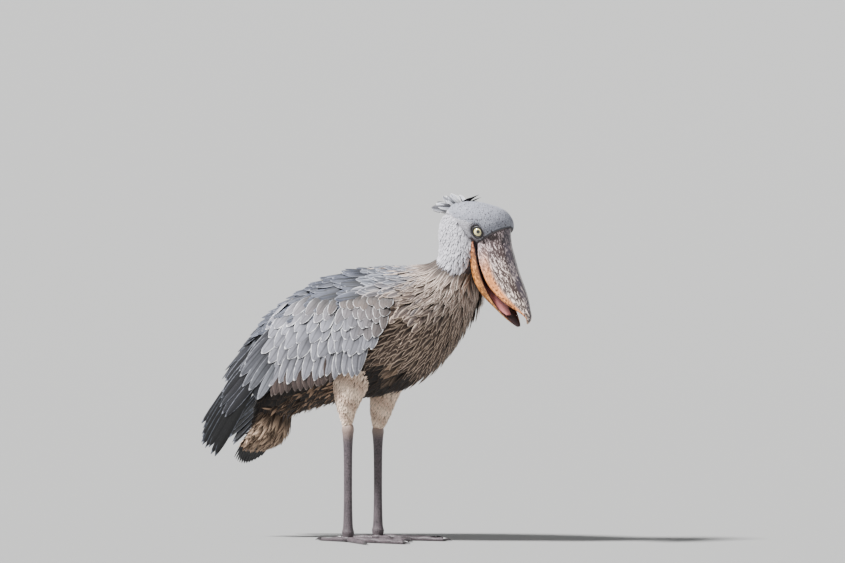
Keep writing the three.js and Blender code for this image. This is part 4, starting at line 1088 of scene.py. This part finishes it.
for name, side in SIDES:
    gaze = unit(np.array((0.27, side * 0.86, 0.42)))
    across = unit(np.cross(gaze, (0, 0, 1)))
    upward = np.cross(across, gaze)
    tt, aa = np.meshgrid(np.linspace(1, 179, 60), np.arange(0, 360, 9), indexing="ij")
    tt, aa = np.radians(tt)[..., None], np.radians(aa)[..., None]
    ring = EYE_RADIUS * (np.cos(tt) * gaze + np.sin(tt) * (np.cos(aa) * across + np.sin(aa) * upward))
    eye = loft("eye " + name, from_head(ring + (0, side * EYE_OUT, 1)), eye_material, "eye")
    distance = EYE_RADIUS * np.where(np.cos(tt) > 0, np.sin(tt), 1) + 0 * aa
    layer = eye.data.attributes.new("from_axis", "FLOAT", "POINT")
    layer.data.foreach_set("value", distance.ravel().astype(np.float32))
    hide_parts("eye_" + name)
    bpy.ops.mesh.primitive_torus_add(
        major_radius=0.0114, minor_radius=0.0027, major_segments=48, minor_segments=14)
    lid = bpy.context.object
    lid.name = "lid_" + name
    co = np.array([vertex.co for vertex in lid.data.vertices]) * 1000
    x, y, z = co[:, 0] * 1.03, 7.4 + co[:, 2], co[:, 1] * 0.98
    c, s = math.cos(LID_UP), math.sin(LID_UP)
    y, z = y * c - z * s, y * s + z * c
    c, s = math.cos(LID_FORWARD), math.sin(LID_FORWARD)
    x, y = x * c + y * s, y * c - x * s
    co = np.stack((x, side * (EYE_OUT + y), 1 + z), -1)
    lid.data.vertices.foreach_set("co", world(from_head(co)).astype(np.float32).ravel())
    if side > 0:
        lid.data.flip_normals()
    lid.data.materials.append(lid_material)
    bpy.ops.object.shade_smooth()
    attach(lid, "root")

# Legs: bare shanks covered with small plates of horn, and long toes with soft pads, flat where they stand.
# The toes spread from a ball at the foot of the shank, and each ends in a claw of hard horn.
leg_material, tree, shader = nodes_of("leg skin")
at_leg = node(tree, "ShaderNodeTexCoord").outputs["Object"]
plates = node(tree, "ShaderNodeMapping", {"Vector": at_leg, "Scale": (1, 1, 0.8)}).outputs[0]
cells = node(tree, "ShaderNodeTexVoronoi", {"Vector": plates, "Scale": 240}, feature="DISTANCE_TO_EDGE")
seam = step(tree, cells.outputs[0], 0.0, 0.12)
tone = noise(tree, at_leg, 40, 3)
colour = mixed(tree, tone, paint(62, 54, 60), paint(98, 86, 90))
colour = mixed(tree, seam, paint(38, 33, 36), colour)
tall = node(tree, "ShaderNodeSeparateXYZ", {0: at_leg}).outputs[2]
ankle_tan = maths(tree, "MULTIPLY", step(tree, tall, 0.218, 0.262), 0.75)
colour = mixed(tree, ankle_tan, colour, paint(168, 144, 130))
dress(tree, shader, colour, seam, 0.5, 0.0006, 0.5)
claw_material = plain("claw horn", paint(44, 40, 42), 0.3)
STANCE, SHANK = 62, 9.5  # each leg's distance from the midline, and the shank's radius
ANKLES = {-1: 250, 1: 243}
FOOT_TURNS = {-1: -7, 1: 4}
# Each toe's name, its heading in degrees, its length and radius, and its pads.
TOES = (
    ("middle", -2, 150, 7.6, 3),
    ("inner", 30, 112, 7, 2),
    ("outer", -34, 118, 7, 3),
    ("hind", 172, 74, 6.6, 1),
)
turns = np.radians(np.arange(0, 360, 12))[None]
for name, side in SIDES:
    ankle = ANKLES[side]
    keys = np.array((
        (9, 1.1), (21, 1.38), (35, 1.12), (75, 0.98), (0.5 * (15 + ankle), 0.94), (ankle - 50, 1),
        (ankle - 16, 1.18), (ankle - 2, 1.36), (ankle + 8, 1.18), (ankle + 16, 0.6),
    ))
    z, swell = np.moveaxis(smooth(keys, np.linspace(0, 1, 60)), -1, 0)[..., None]
    girth = SHANK * swell
    rings = stacked(1.08 * girth * np.cos(turns), side * STANCE + 0.92 * girth * np.sin(turns), z)
    shank = loft("shank " + name, rings, leg_material, "leg_skin")
    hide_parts("shank_" + name)
    t = np.linspace(0.02, 0.98, 20)[:, None] * math.pi
    ball = stacked(13.65 * np.sin(t) * np.cos(turns), 12.35 * np.sin(t) * np.sin(turns), 7 + 8.06 * np.cos(t))
    toes, claws = [], []
    for _, heading, length, radius, pads in TOES:
        spin = turned(math.radians(FOOT_TURNS[side] - side * heading))
        v = np.linspace(0, 1, 30)[:, None]
        pad = 0.5 - 0.5 * np.cos(2 * math.pi * (pads + 0.5) * v)
        girth = radius * (1 - 0.32 * v) * (0.86 + 0.18 * pad) * np.where(v == 1, 0.72, 1)
        height = girth * 0.95 - 1 + girth * 0.95 * np.cos(turns)
        ring = stacked(13 + v * length, girth * np.sin(turns), height)
        toes.append(ring @ spin.T)
        v = np.linspace(0, 1, 12)[:, None]
        root = radius * 0.62
        girth = np.maximum(root * (1 - v**1.4), 0.3)
        arch = root * 0.95 + 1.6 * np.sin(math.pi * v) - 0.55 * root * v
        ring = stacked(13.3 + length + 21 * v, girth * 0.8 * np.sin(turns), arch + girth * np.cos(turns))
        claws.append(ring @ spin.T)
    for label, shapes, skin_kind, slot, covers in (
        ("foot", [ball], leg_material, "leg_skin", ["foot_" + name]),
        ("toes", toes, leg_material, "leg_skin", [f"toe_{name}_{toe[0]}" for toe in TOES]),
        ("claws", claws, claw_material, "claw", [f"claw_{name}_{toe[0]}" for toe in TOES]),
    ):
        points = np.array(shapes) + (0, side * STANCE, 0)
        points[..., 2] = np.maximum(points[..., 2], 0.0 if label != "claws" else 0.2)
        n, s, r, _ = points.shape
        uv = np.broadcast_to(shell_map(s, r), (n, s, r + 1, 2))
        made = tubes(f"{label} {name}", world(points), {"Shell": uv}, None, skin_kind, slot, 60)
        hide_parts(*covers)

# Studio: a pale floor that curves up far away, soft light from all round, one sun and a long lens.
# The bird stands on the middle of the floor, where it is flat.
FLAT, BEND = 12, 120  # metres: the flat part's radius, and the radius of the curve beyond it
slopes = np.radians(np.linspace(0, 50, 41))
reach, rise = FLAT + BEND * np.sin(slopes), BEND - BEND * np.cos(slopes)
bearings = np.radians(np.arange(0, 360, 4))
rings = stacked(reach[:, None] * np.cos(bearings), reach[:, None] * np.sin(bearings), rise[:, None])
count = len(bearings)
faces = [list(range(count))]
for ring in range(len(reach) - 1):
    inner, outer = ring * count, ring * count + count
    for i in range(count):
        j = (i + 1) % count
        faces.append((inner + i, outer + i, outer + j, inner + j))
floor_mesh = bpy.data.meshes.new("floor")
floor_mesh.from_pydata(rings.reshape(-1, 3).tolist(), [], faces)
floor_mesh.shade_smooth()
floor = bpy.data.objects.new("floor", floor_mesh)
bpy.context.scene.collection.objects.link(floor)
floor.data.materials.append(plain("pale floor", (0.3, 0.3, 0.296, 1), 0.9))

backdrop = bpy.data.worlds.new("studio")
bpy.context.scene.world = backdrop
backdrop.use_nodes = True
fill = backdrop.node_tree.nodes["Background"]
fill.inputs["Color"].default_value = (0.86, 0.88, 0.92, 1)
fill.inputs["Strength"].default_value = 0.34

bpy.ops.object.light_add(type="SUN")
key = bpy.context.object
key.name = "key"
key.data.energy = 11.5
key.data.angle = math.radians(9)
key.rotation_euler = Vector((-0.42, -0.72, 1.05)).to_track_quat("Z", "Y").to_euler()

YAW = math.radians(32)
right = np.array((math.cos(YAW), math.sin(YAW), 0))
toward = np.array((math.sin(YAW), -math.cos(YAW), 0))
PAN, AWAY, EYE_LEVEL, AIM_LEVEL = 0.1322, 16, 0.7578, 0.5767  # metres
aim = ORIGIN + right * PAN + (0, 0, AIM_LEVEL)
lens_at = ORIGIN + right * PAN + toward * AWAY + (0, 0, EYE_LEVEL)
bpy.ops.object.camera_add(location=lens_at)
camera = bpy.context.object
camera.rotation_euler = Vector(aim - lens_at).to_track_quat("-Z", "Y").to_euler()
camera.data.sensor_width = 36
camera.data.lens = 306.8
camera.data.clip_end = 100
bpy.context.scene.camera = camera
